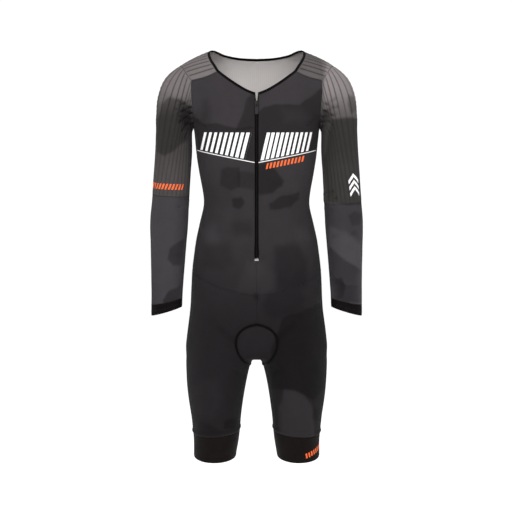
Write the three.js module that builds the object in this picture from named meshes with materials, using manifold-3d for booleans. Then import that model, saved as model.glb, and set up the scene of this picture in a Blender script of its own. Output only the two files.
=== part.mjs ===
// A long-sleeved time trial suit with short legs, filled out as if worn: cloth panels, a front zip,
// bound neck, cuffs, leg bands and a seat insert. Millimetres, +Z up. The wearer faces -Y and their
// left side is at +X. The origin is midway between the neck points of the two shoulders.
import * as THREE from "three";
import ManifoldModule from "manifold-3d";

// Cloth, seams and trims
const clothThickness = 1.5;
const seamGap = 0.3;
const bindingWidth = 5;
const bindingThickness = 3.2;
const ribHeight = 0.6;

// Zip
const zipTop = -127;
const zipEnd = -505;
const zipHalfOpening = 4.6;
const tape = { inner: 2.6, innerAtNeck: 3.7, outer: 9.5, thickness: 1, drop: 0.4 };
const chain = { halfWidth: 2.2, thickness: 2.2, drop: 0.6 };
const slider = { z: -131, width: 8.4, tailWidth: 6.8, length: 12, from: -0.3, to: 1.3 };
const bail = { width: 2.6, length: 9, height: 3.6, hole: 4.6, holeFrom: 0.3, holeTo: 2.5 };
const pull = { width: 8, length: 26, thickness: 1.5, window: 4.2, windowLength: 8, height: 2.7, along: 1.2 };
const stop = { z: -503.5, width: 9.5, length: 5, from: 0.35, to: 1.6 };

// Seam levels
const waistSeam = -538;
const waistSag = { middle: 54, belly: 43, hip: 22, side: 7 };
const bandSeam = { outer: -950, inner: -941 };
const legHem = { back: -1006, side: -1009, front: -1013 };
const elbowSeam = { left: -372, right: -354, innerDrop: 4 };
const cuffSeam = { outer: -619, inner: -602 };
const cuffHem = { outer: -645, inner: -624 };

// A table with named columns: each row is one section.
function table(names, rows) {
  return rows.map((row) => Object.fromEntries(names.split(" ").map((name, i) => [name, row[i]])));
}

// The trunk, without shoulders: half width, and depth in front of and behind the side seams
const trunk = table("z half front back", [
  [30, 15, 10, 25],
  [0, 38, 34, 50],
  [-22, 52, 48, 60],
  [-50, 76, 62, 74],
  [-80, 106, 75, 87],
  [-108, 133, 85, 96],
  [-150, 149, 97, 103],
  [-189, 152, 106, 106],
  [-228, 149, 111, 106],
  [-267, 145, 110, 101],
  [-306, 139, 106, 93],
  [-345, 132, 101, 84],
  [-366, 129.5, 98, 80],
  [-386, 130.5, 96, 78],
  [-424, 139.5, 95, 80],
  [-464, 148.5, 96, 89],
  [-504, 154.5, 97, 99],
  [-544, 159, 96, 108],
  [-624, 163.5, 91, 118],
  [-704, 171, 84, 111],
  [-745, 170, 78, 100],
  [-800, 150, 70, 85],
]);
const trunkRoundness = 2.3;
const trunkBottom = -758;
const trunkBottomBlend = 40;

// A leg: its centre's distance from the middle, half width, and depth in front and behind
const leg = table("z x half front back", [
  [-640, 86, 64, 62, 88],
  [-704, 90, 76, 80, 103],
  [-745, 92.5, 81.5, 86, 104],
  [-765, 93.3, 82.5, 86, 102],
  [-786, 96.8, 78.8, 86, 98],
  [-826, 100.2, 73.4, 84, 90],
  [-867, 101.5, 68, 80, 82],
  [-908, 101.2, 62.3, 75, 74],
  [-950, 100.6, 58.3, 70, 67],
  [-970, 101.1, 56.3, 68, 65],
  [-1006, 104.2, 53.4, 65, 62],
  [-1040, 106, 53, 64, 61],
]);

// A sleeve's centreline from inside the chest over the shoulder to the wrist, its half width
// across the path and its half depth from front to back
const arm = table("x y z across depth", [
  [60, 8, -84, 86, 86],
  [92, 8, -88, 85, 84],
  [121, 7, -93, 77, 79],
  [147, 5, -103, 72, 72],
  [170, 3, -120, 70, 66],
  [187, 1, -143, 59, 61],
  [197.5, 0, -170, 47, 57],
  [201, -1, -200, 43.6, 53],
  [202.5, -2, -247, 44.5, 49],
  [206.5, -2, -306, 44.7, 46],
  [210.5, 0, -363, 45.4, 44],
  [214.3, -6, -421, 46.6, 42],
  [216, -18, -481, 43.6, 38],
  [217.5, -32, -541, 40.3, 32],
  [218.7, -46, -600, 38, 27],
  [219.5, -58, -660, 37, 23],
]);
const armSteps = 60;

// How softly the forms run into each other
const shoulderBlend = { soft: 32, tight: 8, from: -200, to: -140 };
const hipBlend = 18;
const crotchBlend = 12;

const vector = (x, y, z) => new THREE.Vector3(x, y, z);
const mix = THREE.MathUtils.lerp;

// One column of a table at height z, on a smooth curve through its rows
function column(rows, name, z) {
  const last = rows.length - 2;
  let i = 0;
  while (i < last && rows[i + 1].z > z) i++;
  const [a, b] = [rows[i], rows[i + 1]];
  const [before, after] = [rows[Math.max(i - 1, 0)], rows[Math.min(i + 2, last + 1)]];
  const span = b.z - a.z;
  const slopeA = ((b[name] - before[name]) / (b.z - before.z)) * span;
  const slopeB = ((after[name] - a[name]) / (after.z - a.z)) * span;
  const t = THREE.MathUtils.clamp((z - a.z) / span, 0, 1);
  const [t2, t3] = [t * t, t * t * t];
  return (
    a[name] * (2 * t3 - 3 * t2 + 1) +
    b[name] * (3 * t2 - 2 * t3) +
    slopeA * (t3 - 2 * t2 + t) +
    slopeB * (t3 - t2)
  );
}

// The arm's path as many short steps, each with its place, direction and half sizes
const armPath = (() => {
  const curveOf = (names) =>
    new THREE.CatmullRomCurve3(arm.map((row) => vector(...names.map((name) => row[name] ?? 0))));
  const centre = curveOf(["x", "y", "z"]);
  const sizes = curveOf(["across", "depth", "none"]);
  return Array.from({ length: armSteps + 1 }, (_, i) => {
    const t = i / armSteps;
    const size = sizes.getPoint(t);
    return { at: centre.getPoint(t), across: size.x, depth: size.y };
  });
})();

// The smooth union of two distances, and their smooth intersection
function union(a, b, softness) {
  const h = Math.max(softness - Math.abs(a - b), 0) / softness;
  return Math.min(a, b) - (h * h * softness) / 4;
}
const intersection = (a, b, softness) => -union(-a, -b, softness);

// Distance from an upright section with its own half width and depth, outside positive
function sectionDistance(x, y, halfWidth, halfDepth, roundness) {
  const size =
    ((Math.abs(x) / halfWidth) ** roundness + (Math.abs(y) / halfDepth) ** roundness) ** (1 / roundness);
  const reach = Math.hypot(x, y);
  return size < 1e-6 ? -Math.min(halfWidth, halfDepth) : reach - reach / size;
}

function trunkDistance(x, y, z) {
  const depth = column(trunk, y < 0 ? "front" : "back", z);
  const round = sectionDistance(x, y, column(trunk, "half", z), depth, trunkRoundness);
  return intersection(round, trunkBottom - z, trunkBottomBlend);
}

function legDistance(x, y, z) {
  const [front, back] = [column(leg, "front", z), column(leg, "back", z)];
  const above = z - leg[0].z;
  const tube = sectionDistance(
    x - column(leg, "x", z),
    y - (back - front) / 2,
    column(leg, "half", z),
    (front + back) / 2,
    2,
  );
  return Math.max(tube, above);
}

function armDistance(x, y, z) {
  let nearest = Infinity;
  let distance = Infinity;
  const point = vector(x, y, z);
  for (let i = 0; i < armSteps; i++) {
    const [a, b] = [armPath[i], armPath[i + 1]];
    const [dx, dy, dz] = [b.at.x - a.at.x, b.at.y - a.at.y, b.at.z - a.at.z];
    const long = dx * dx + dy * dy + dz * dz;
    const t = ((point.x - a.at.x) * dx + (point.y - a.at.y) * dy + (point.z - a.at.z) * dz) / long;
    const clamped = THREE.MathUtils.clamp(t, 0, 1);
    const [ox, oy, oz] = [
      point.x - a.at.x - clamped * dx,
      point.y - a.at.y - clamped * dy,
      point.z - a.at.z - clamped * dz,
    ];
    const away = Math.hypot(ox, oy, oz);
    if (away >= nearest) continue;
    nearest = away;
    const [across, depth] = [mix(a.across, b.across, clamped), mix(a.depth, b.depth, clamped)];
    distance = sectionDistance(Math.hypot(ox, oz), oy, across, depth, 2);
  }
  return distance;
}

// Distance from the garment's outer surface. Both sides of the wearer have the same form.
function garment(x, y, z) {
  const side = Math.abs(x);
  let distance = trunkDistance(side, y, z);
  if (z > arm.at(-1).z - 80) {
    const { soft, tight, from, to } = shoulderBlend;
    const softness = mix(tight, soft, THREE.MathUtils.smoothstep(z, from, to));
    distance = union(distance, armDistance(side, y, z), softness);
  }
  if (z < leg[0].z) {
    const legs = union(legDistance(side, y, z), legDistance(-side, y, z), crotchBlend);
    distance = union(distance, legs, hipBlend);
  }
  return distance;
}

const probe = 0.4;
function slope(p) {
  return vector(
    garment(p.x + probe, p.y, p.z) - garment(p.x - probe, p.y, p.z),
    garment(p.x, p.y + probe, p.z) - garment(p.x, p.y - probe, p.z),
    garment(p.x, p.y, p.z + probe) - garment(p.x, p.y, p.z - probe),
  ).divideScalar(2 * probe);
}
const outward = (p) => slope(p).normalize();

// Moves a point square onto the garment's surface.
function settle(point, rounds = 5) {
  const p = point.clone();
  for (let i = 0; i < rounds; i++) {
    const g = slope(p);
    p.addScaledVector(g, -garment(p.x, p.y, p.z) / Math.max(g.lengthSq(), 0.2));
  }
  return p;
}

// A seam drawn through a few points near the surface, as so many equal steps on the surface
function seam(points, steps) {
  const curve = new THREE.CatmullRomCurve3(
    points.map((p) => vector(...p)),
    false,
    "centripetal",
  );
  return Array.from({ length: steps + 1 }, (_, i) => settle(curve.getPointAt(i / steps)));
}
const join = (...runs) => runs.flatMap((run, i) => (i ? run.slice(1) : run));
const reversed = (run) => [...run].reverse();
const mirrored = (run) => run.map((p) => vector(-p.x, p.y, p.z));
const between = (a, b, t) => a.clone().lerp(b, t);

// Evens out a grid of points on the surface while its edges stay. A ring's last column is its first.
function relax(grid, ring, rounds = 60) {
  const [rows, columns] = [grid.length, grid[0].length];
  for (let n = 0; n < rounds; n++) {
    for (let i = 1; i < rows - 1; i++) {
      for (let j = ring ? 0 : 1; j < columns - 1; j++) {
        const before = grid[i][ring ? (j + columns - 2) % (columns - 1) : j - 1];
        const middle = grid[i - 1][j].clone().add(grid[i + 1][j]).add(before).add(grid[i][j + 1]);
        grid[i][j].copy(settle(middle.divideScalar(4), 1));
      }
      if (ring) grid[i][columns - 1].copy(grid[i][0]);
    }
  }
  return grid.map((row) => row.map((p) => settle(p, 3)));
}

// A panel whose rows run round an upright axis at (axisX, 0), from the start edge to the end edge
function panelRound(axisX, start, end, bottom, top) {
  const polar = (p) => ({ angle: Math.atan2(p.x - axisX, -p.y), radius: Math.hypot(p.x - axisX, p.y), z: p.z });
  const steps = bottom.length - 1;
  const grid = start.map((from, i) => {
    const [a, b] = [polar(from), polar(end[i])];
    if (b.angle <= a.angle) b.angle += 2 * Math.PI;
    return Array.from({ length: steps + 1 }, (_, j) => {
      const t = j / steps;
      const [angle, radius] = [mix(a.angle, b.angle, t), mix(a.radius, b.radius, t)];
      return settle(vector(axisX + radius * Math.sin(angle), -radius * Math.cos(angle), mix(a.z, b.z, t)));
    });
  });
  grid[0] = bottom;
  grid[grid.length - 1] = top;
  grid.forEach((row, i) => {
    row[0] = start[i].clone();
    row[steps] = end[i].clone();
  });
  return relax(grid, false);
}

// A panel filled straight in between its four edges, then laid on the surface
function panelAcross(start, end, bottom, top) {
  const [rows, steps] = [start.length - 1, bottom.length - 1];
  const grid = start.map((from, i) =>
    bottom.map((low, j) => {
      const [v, u] = [i / rows, j / steps];
      const p = between(from, end[i], u).add(between(low, top[j], v));
      const corners = between(between(bottom[0], bottom[steps], u), between(top[0], top[steps], u), v);
      return p.sub(corners);
    }),
  );
  return relax(grid, false);
}

// A tube of cloth between two rings, each with its last point on its first
function tube(firstRing, lastRing, rows) {
  const grid = Array.from({ length: rows + 1 }, (_, i) =>
    firstRing.map((p, j) => settle(between(p, lastRing[j], i / rows), i % rows ? 5 : 0)),
  );
  return relax(grid, true);
}

// A level or sloping ring round a limb. A turn of 0 is on its inner side, and it runs round by the front.
function ring(centre, halfWidth, halfDepth, steps, heightAt) {
  return Array.from({ length: steps + 1 }, (_, j) => {
    const turn = ((j % steps) / steps) * 2 * Math.PI;
    const across = -Math.cos(turn);
    let p = vector(centre.x + halfWidth * across, centre.y - halfDepth * Math.sin(turn), 0);
    for (let n = 0; n < 3; n++) {
      p.z = heightAt(across, p.y - centre.y);
      p = settle(p, 2);
    }
    p.z = heightAt(across, p.y - centre.y);
    return p;
  });
}

// Draws a grid's edges in, by a distance for each: first row, last row, first column, last column.
// Each point moves along the surface, square to its edge.
function drawnIn(grid, [first, last, left, right], isRing = false) {
  const [rows, columns] = [grid.length - 1, grid[0].length - 1];
  const made = grid.map((row) => row.map((p) => p.clone()));
  const shift = (i, j, before, after, next, distance) => {
    const along = after.clone().sub(before);
    const square = outward(grid[i][j]).cross(along).normalize();
    const side = Math.sign(square.dot(next.clone().sub(grid[i][j])));
    made[i][j].addScaledVector(square, side * distance);
  };
  for (const [i, next, distance] of [[0, 1, first], [rows, rows - 1, last]]) {
    for (let j = 0; j <= columns; j++) {
      const before = isRing && j === 0 ? columns - 1 : Math.max(j - 1, 0);
      const after = isRing && j === columns ? 1 : Math.min(j + 1, columns);
      shift(i, j, grid[i][before], grid[i][after], grid[next][j], distance);
    }
  }
  for (const [j, next, distance] of [[0, 1, left], [columns, columns - 1, right]]) {
    for (let i = 0; distance && i <= rows; i++) {
      shift(i, j, grid[Math.max(i - 1, 0)][j], grid[Math.min(i + 1, rows)][j], grid[i][next], distance);
    }
  }
  return made;
}

// The closed geometry of a wall between two grids of points. A ring's last column isn't used.
function closedWall(outer, inner, isRing) {
  const rows = outer.length;
  const columns = outer[0].length - (isRing ? 1 : 0);
  const positions = [...outer, ...inner].flatMap((row) => row.slice(0, columns).flatMap((p) => p.toArray()));
  const index = [];
  const id = (side, i, j) => (side * rows + i) * columns + (j % columns);
  const quad = (a, b, c, d) => index.push(a, b, c, a, c, d);
  const steps = isRing ? columns : columns - 1;
  for (let i = 0; i < rows - 1; i++) {
    for (let j = 0; j < steps; j++) {
      quad(id(0, i, j), id(0, i, j + 1), id(0, i + 1, j + 1), id(0, i + 1, j));
      quad(id(1, i, j), id(1, i + 1, j), id(1, i + 1, j + 1), id(1, i, j + 1));
    }
  }
  for (let j = 0; j < steps; j++) {
    quad(id(1, 0, j), id(1, 0, j + 1), id(0, 0, j + 1), id(0, 0, j));
    quad(id(0, rows - 1, j), id(0, rows - 1, j + 1), id(1, rows - 1, j + 1), id(1, rows - 1, j));
  }
  for (let i = 0; !isRing && i < rows - 1; i++) {
    quad(id(0, i, 0), id(0, i + 1, 0), id(1, i + 1, 0), id(1, i, 0));
    quad(id(0, i, steps), id(1, i, steps), id(1, i + 1, steps), id(0, i + 1, steps));
  }
  const geometry = new THREE.BufferGeometry();
  geometry.setAttribute("position", new THREE.Float32BufferAttribute(positions, 3));
  return geometry.setIndex(index);
}

// A cloth wall on a grid of points: raise(i, j) lifts an outer point, and sink moves the wall inward.
function clothWall(grid, { isRing = false, thickness = clothThickness, raise = () => 0, sink = 0 } = {}) {
  const normals = grid.map((row) => row.map(outward));
  const offset = (distance) =>
    grid.map((row, i) => row.map((p, j) => p.clone().addScaledVector(normals[i][j], distance(i, j) - sink)));
  return closedWall(offset(raise), offset(() => -thickness), isRing);
}

// A narrow strip laid along a line of points. Its reach to the side may change along the line, and its
// heights are above the cloth's outer surface.
function strip(line, { from, to, low, high, across = 1, isRing = false }) {
  const last = line.length - 1;
  const stations = line.map((p, i) => {
    const before = line[isRing && i === 0 ? last - 1 : Math.max(i - 1, 0)];
    const after = line[isRing && i === last ? 1 : Math.min(i + 1, last)];
    const normal = outward(p);
    const square = normal.clone().cross(after.clone().sub(before)).normalize();
    return { p, normal, square };
  });
  const level = (height) =>
    Array.from({ length: across + 1 }, (_, k) =>
      stations.map(({ p, normal, square }, i) =>
        p
          .clone()
          .addScaledVector(square, mix(from, to(i / last), k / across))
          .addScaledVector(normal, height),
      ),
    );
  return closedWall(level(high), level(low), isRing);
}

// Turns a geometry inside out, for one that is mirrored or was walked the other way round
function flipped(geometry) {
  const index = geometry.getIndex();
  for (let i = 0; i < index.count; i += 3) {
    const [b, c] = [index.getX(i + 1), index.getX(i + 2)];
    index.setX(i + 1, c);
    index.setX(i + 2, b);
  }
  return geometry;
}
const otherSide = (geometry) => flipped(geometry.clone().scale(-1, 1, 1));

const suit = new THREE.Group();
const finishes = {
  print: { color: 0x2b292b, roughness: 0.72 },
  rib: { color: 0x67625f, roughness: 0.8 },
  forearm: { color: 0x454146, roughness: 0.7 },
  band: { color: 0x161314, roughness: 0.62 },
  zip: { color: 0x0c0a0b, roughness: 0.45 },
  metal: { color: 0x1b1a1c, roughness: 0.35, metalness: 0.6 },
  stop: { color: 0x8f8c8e, roughness: 0.4, metalness: 0.7 },
};
function add(name, geometry, finish, parent = suit) {
  const mesh = new THREE.Mesh(geometry, new THREE.MeshStandardMaterial(finishes[finish]));
  mesh.name = name;
  parent.add(mesh);
  return mesh;
}
function addPair(name, geometry, finish) {
  add(`${name}_left`, geometry, finish);
  add(`${name}_right`, otherSide(geometry), finish);
}

// How many steps each stretch of a seam has, so that the panels on both sides of it share its points
const steps = {
  zipLow: 8,
  zipHigh: 14,
  neckFront: 5,
  neckSide: 24,
  neckBack: 5,
  side: 10,
  armholeLow: 14,
  yoke: 4,
  waistFront: 9,
  waistBack: 9,
  upperSleeve: 7,
  forearm: 7,
  cuff: 2,
  centre: 5,
  insertHalf: 10,
  insertCorner: 4,
  inseam: 6,
  band: 2,
};
const sleeveRound = steps.neckSide + 2 * steps.armholeLow;
const legRound = steps.waistFront + steps.waistBack;
const halfSeam = seamGap / 2 + 0.04;

// The cloth's neck edge, from the zip over the shoulder to the middle of the back
const neckFront = seam(
  [
    [zipHalfOpening, -86, -112],
    [12, -86, -110],
    [36, -85, -98],
    [66, -80, -79],
    [93, -68, -59],
  ],
  steps.neckFront,
);
const neckSide = seam(
  [
    [93, -68, -59],
    [110, -42, -34],
    [118, -6, -8],
    [112, 20, -2],
    [98, 41, -9],
  ],
  steps.neckSide,
);
const neckBack = seam(
  [
    [98, 41, -9],
    [83, 57, -16],
    [60, 67, -22],
    [32, 69.5, -25.6],
    [10, 67.5, -26.8],
    [0, 67, -26.8],
  ],
  steps.neckBack,
);

// The armhole, from the armpit up the front, over the shoulder and down the back
const armpit = [154, 0, -189];
const yokeFrontEnd = [155, -62, -79];
const yokeBackEnd = [158, 66, -82];
const armholeFront = seam(
  [armpit, [153, -24, -180], [153, -52, -150], [155, -62, -112], yokeFrontEnd],
  steps.armholeLow,
);
const armholeTop = seam(
  [
    yokeFrontEnd,
    [168, -50, -62],
    [179, -32, -46],
    [189, 0, -38],
    [180, 34, -46],
    [169, 54, -62],
    yokeBackEnd,
  ],
  steps.neckSide,
);
const armholeBack = seam(
  [yokeBackEnd, [156, 66, -114], [154, 57, -148], [153, 26, -180], armpit],
  steps.armholeLow,
);

// The yoke's seams across the chest and the shoulder blade, from the neck to the armhole
const yokeFront = seam([[93, -68, -59], [114, -68, -69], [134, -68, -74], yokeFrontEnd], steps.yoke);
const yokeBack = seam([[98, 41, -9], [116, 60, -38], [138, 66, -62], yokeBackEnd], steps.yoke);

// The side seam, the front edge beside the zip, and the waist from the front's middle to the back's
const sideSeam = seam(
  [[160, 4, waistSeam], [148, 4, -464], [130, 3, -372], [144, 2, -270], [150, 1, -225], armpit],
  steps.side,
);
const zipLow = seam(
  [
    [zipHalfOpening, -96, zipEnd + 6],
    [zipHalfOpening, -95, -420],
    [zipHalfOpening, -101, -345],
    [zipHalfOpening, -111, -240],
    [zipHalfOpening, -105, -187],
  ],
  steps.zipLow,
);
const zipHigh = seam(
  [
    [zipHalfOpening, -105, -187],
    [zipHalfOpening, -98, -150],
    [zipHalfOpening, -86, -112],
  ],
  steps.zipHigh,
);
const waistFront = seam(
  [
    [0, -96, waistSeam - waistSag.middle],
    [60, -90, waistSeam - waistSag.belly],
    [120, -62, waistSeam - waistSag.hip],
    [150, -30, waistSeam - waistSag.side],
    [160, 4, waistSeam],
  ],
  steps.waistFront,
);
const waistBack = seam(
  [
    [160, 4, waistSeam],
    [150, 40, waistSeam],
    [110, 82, waistSeam],
    [55, 104, waistSeam],
    [0, 108, waistSeam],
  ],
  steps.waistBack,
);
const belowZip = [waistFront[0], settle(vector(0, -96, zipEnd))];
const frontEdge = [...belowZip, ...join(zipLow, zipHigh)];
const armholeInset = 0.36;
const seamInset = [halfSeam, halfSeam, halfSeam, halfSeam];

// The chest, the back and the two shoulder yokes
const frontGrid = panelRound(
  0,
  frontEdge,
  join(sideSeam, armholeFront),
  waistFront,
  join(neckFront, yokeFront),
);
const frontInset = [halfSeam, halfSeam, halfSeam, armholeInset];
addPair("front", clothWall(drawnIn(frontGrid, frontInset)), "print");

const backEdge = join(sideSeam, reversed(armholeBack));
const backTop = join(reversed(yokeBack), neckBack);
const acrossBack = (run) => join(run, reversed(mirrored(run)));
const backGrid = panelRound(0, backEdge, mirrored(backEdge), acrossBack(waistBack), acrossBack(backTop));
const backInset = [halfSeam, halfSeam, armholeInset, armholeInset];
add("back", clothWall(drawnIn(backGrid, backInset)), "print");

const alongRib = (i) => (i % 2 ? ribHeight : 0);
const yokeGrid = panelAcross(neckSide, armholeTop, yokeFront, yokeBack);
const yokeRib = (i, j) => (j % steps.yoke ? alongRib(i) : 0);
addPair("yoke", clothWall(drawnIn(yokeGrid, seamInset), { raise: yokeRib }), "rib");

// A sleeve in three lengths: ribbed above the elbow, plain below it, and the cuff
const armhole = join(armholeFront, armholeTop, armholeBack);
function sleeve(elbow) {
  const slant = (outer, inner) => (across) => mix(inner, outer, (across + 1) / 2);
  const elbowHeight = slant(elbow, elbow - elbowSeam.innerDrop);
  const elbowRing = ring(vector(211, 0, 0), 45, 44, sleeveRound, elbowHeight);
  const wide = elbowRing.filter((_, j) => j % 2 === 0);
  const seamRing = ring(vector(219, -47, 0), 38, 27, sleeveRound / 2, slant(cuffSeam.outer, cuffSeam.inner));
  const hemRing = ring(vector(219.5, -54, 0), 37, 24, sleeveRound / 2, slant(cuffHem.outer, cuffHem.inner));
  const upper = tube(elbowRing, armhole, steps.upperSleeve);
  const lower = tube(seamRing, wide, steps.forearm);
  const cuff = tube(hemRing, seamRing, steps.cuff);
  const both = [halfSeam, halfSeam];
  const sleeveRib = (i, j) => (i % steps.upperSleeve ? alongRib(j) : 0);
  return {
    sleeve_upper: clothWall(drawnIn(upper, both, true), { isRing: true, raise: sleeveRib }),
    sleeve_lower: clothWall(drawnIn(lower, both, true), { isRing: true }),
    cuff: clothWall(drawnIn(cuff, [0, halfSeam], true), { isRing: true }),
  };
}
const sleeveFinish = { sleeve_upper: "rib", sleeve_lower: "forearm", cuff: "band" };
const sleeves = { left: sleeve(elbowSeam.left), right: sleeve(elbowSeam.right) };
for (const [name, finish] of Object.entries(sleeveFinish)) {
  add(`${name}_left`, sleeves.left[name], finish);
  add(`${name}_right`, otherSide(sleeves.right[name]), finish);
}

// The insert's outline on one side, from its front point to the inseam and on to its back point
const inseamTop = [19, 8, -776];
const insertFront = seam(
  [
    [0, -85, -662],
    [26, -84, -670],
    [44, -80, -686],
    [50, -74, -706],
    [47, -64, -732],
    [36, -46, -762],
    inseamTop,
  ],
  steps.insertHalf,
);
const insertBack = seam(
  [
    inseamTop,
    [24, 40, -776],
    [38, 70, -762],
    [50, 92, -734],
    [46, 104, -706],
    [26, 110, -684],
    [0, 112, -676],
  ],
  steps.insertHalf,
);

// The legs, their bands and the insert
const legCentre = vector(101, -1, 0);
const legRing = (heightAt) => ring(legCentre, 58, 68, legRound, heightAt);
const bandTop = legRing((across) => mix(bandSeam.inner, bandSeam.outer, (across + 1) / 2));
const hem = legRing((across, forward) =>
  forward < 0
    ? mix(legHem.side, legHem.front, Math.min(-forward / 62, 1))
    : mix(legHem.side, legHem.back, Math.min(forward / 62, 1)),
);
const inseam = seam([inseamTop, [30, 7, -840], [39, 5, -900], bandTop[0].toArray()], steps.inseam);
const centreFront = seam([[0, -85, -662], [0, -88, -627], [0, -96, waistSeam - waistSag.middle]], steps.centre);
const centreBack = seam([[0, 112, -676], [0, 118, -620], [0, 108, waistSeam]], steps.centre);
const inseamUp = reversed(inseam);
const legGrid = panelRound(
  95,
  join(inseamUp, reversed(insertFront), centreFront),
  join(inseamUp, insertBack, centreBack),
  bandTop,
  join(waistFront, waistBack),
);
addPair("leg", clothWall(drawnIn(legGrid, seamInset)), "print");
const bandGrid = tube(hem, bandTop, steps.band);
addPair("leg_band", clothWall(drawnIn(bandGrid, [0, halfSeam], true), { isRing: true }), "band");

const insertSide = join(insertFront, insertBack);
const corner = steps.insertCorner;
const endArc = (run) => join(mirrored(reversed(run)), run);
const insertGrid = panelAcross(
  reversed(mirrored(insertSide).slice(corner, -corner)),
  reversed(insertSide.slice(corner, -corner)),
  endArc(reversed(insertSide).slice(0, corner + 1)),
  endArc(insertSide.slice(0, corner + 1)),
);
add("crotch_insert", clothWall(drawnIn(insertGrid, seamInset)), "print");

// The raised seam round the insert
const insertOutline = join(insertSide, reversed(mirrored(insertSide)));
const seamStrip = { from: -2, to: () => 2, low: 0.6, high: 1.4, across: 2, isRing: true };
add("insert_seam", strip(insertOutline, seamStrip), "band");

// The binding, one piece from the zip's one side round the neck to its other side
const neckHalf = join(neckFront, neckSide, neckBack);
const bindingLip = (bindingThickness - clothThickness) / 2;
const binding = {
  from: seamGap,
  to: () => seamGap + bindingWidth,
  low: -clothThickness - bindingLip,
  high: bindingLip,
};
add("neck_binding", strip(acrossBack(neckHalf), binding), "band");

// The zip's tapes under the front edges, and its closed chain between them
const zipEdge = join(zipLow, zipHigh);
const slitStart = zipEdge.findIndex((p) => p.z > zipTop) / (zipEdge.length - 1);
const tapeInner = (t) => mix(tape.inner, tape.innerAtNeck, Math.max(t - slitStart, 0) / (1 - slitStart));
const tapeTop = -clothThickness - tape.drop;
const tapeStrip = {
  from: zipHalfOpening - tape.outer,
  to: (t) => zipHalfOpening - tapeInner(t),
  low: tapeTop - tape.thickness,
  high: tapeTop,
};
addPair("zip_tape", strip(zipEdge, tapeStrip), "zip");

const onCentre = (z) => settle(vector(0, -98, z));
const chainLine = [...zipEdge.filter((p) => p.z < zipTop - 3).map((p) => onCentre(p.z)), onCentre(zipTop)];
const chainStrip = {
  from: -chain.halfWidth,
  to: () => chain.halfWidth,
  low: -chain.drop - chain.thickness,
  high: -chain.drop,
};
add("zip_chain", strip(chainLine, chainStrip), "zip");

// The slider, its pull tab and the stop. Each is made with X to the side, -Y outward and Z up along the
// cloth, then laid on it.
const manifold = await ManifoldModule();
manifold.setup();
const { Manifold, CrossSection } = manifold;
const box = ([width, depth, height], [x, y, z]) =>
  Manifold.cube([width, depth, height], true).translate([x, y, z]);
const pin = (length, radius, turned, [x, y, z], sides = 16) =>
  Manifold.cylinder(length, radius, radius, sides, true).rotate(turned).translate([x, y, z]);
const [alongX, alongY] = [[0, 90, 0], [90, 0, 0]];

const plateOutline = [
  [-slider.tailWidth / 2, -slider.length / 2],
  [slider.tailWidth / 2, -slider.length / 2],
  [slider.width / 2, slider.length / 2],
  [-slider.width / 2, slider.length / 2],
];
const plate = new CrossSection([plateOutline])
  .offset(-0.9)
  .offset(0.9, "Round", 2, 16)
  .extrude(slider.to - slider.from)
  .rotate([90, 0, 0])
  .translate([0, -slider.from, 0]);
const archRadius = bail.height / 2;
const archEnd = bail.length / 2 - archRadius;
const arch = Manifold.hull([
  pin(bail.width, archRadius, alongX, [0, -slider.to - archRadius, archEnd]),
  pin(bail.width, archRadius, alongX, [0, -slider.to - archRadius, -archEnd]),
  box([bail.width, 0.4, bail.length], [0, -slider.to, 0]),
]);
const hole = box(
  [bail.width + 1, bail.holeTo - bail.holeFrom, bail.hole],
  [0, -slider.to - (bail.holeFrom + bail.holeTo) / 2, 0],
);
const sliderSolid = plate.add(arch).subtract(hole);

const barAt = [0, -pull.height, -pull.along];
const tabEnd = pull.width / 2 - 2;
const tab = Manifold.hull([
  pin(pull.thickness, 1, alongY, [-2.6, -pull.height, -pull.along - 0.2]),
  pin(pull.thickness, 1, alongY, [2.6, -pull.height, -pull.along - 0.2]),
  pin(pull.thickness, 2, alongY, [-tabEnd, -pull.height, -pull.along - pull.length + 2]),
  pin(pull.thickness, 2, alongY, [tabEnd, -pull.height, -pull.along - pull.length + 2]),
]);
const tabWindow = box(
  [pull.window, pull.thickness + 1, pull.windowLength + 2],
  [0, -pull.height, -pull.along + 2 - (pull.windowLength + 2) / 2],
);
const pullSolid = tab.subtract(tabWindow).add(pin(6, pull.thickness / 2, alongX, barAt));
const stopSolid = box([stop.width, stop.to - stop.from, stop.length], [0, -(stop.from + stop.to) / 2, 0]);

function laidOn(solid, z) {
  const mesh = solid.getMesh();
  const geometry = new THREE.BufferGeometry();
  geometry.setAttribute("position", new THREE.Float32BufferAttribute(mesh.vertProperties, mesh.numProp));
  geometry.setIndex([...mesh.triVerts]);
  const [here, below] = [onCentre(z), onCentre(z - 20)];
  const up = here.clone().sub(below).normalize();
  return geometry.rotateX(Math.atan2(-up.y, up.z)).translate(here.x, here.y, here.z);
}
add("zip_slider", laidOn(sliderSolid, slider.z), "metal");
add("zip_pull", laidOn(pullSolid, slider.z), "metal");
add("zip_stop", laidOn(stopSolid, stop.z), "stop");

export default suit;
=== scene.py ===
import math

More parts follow.
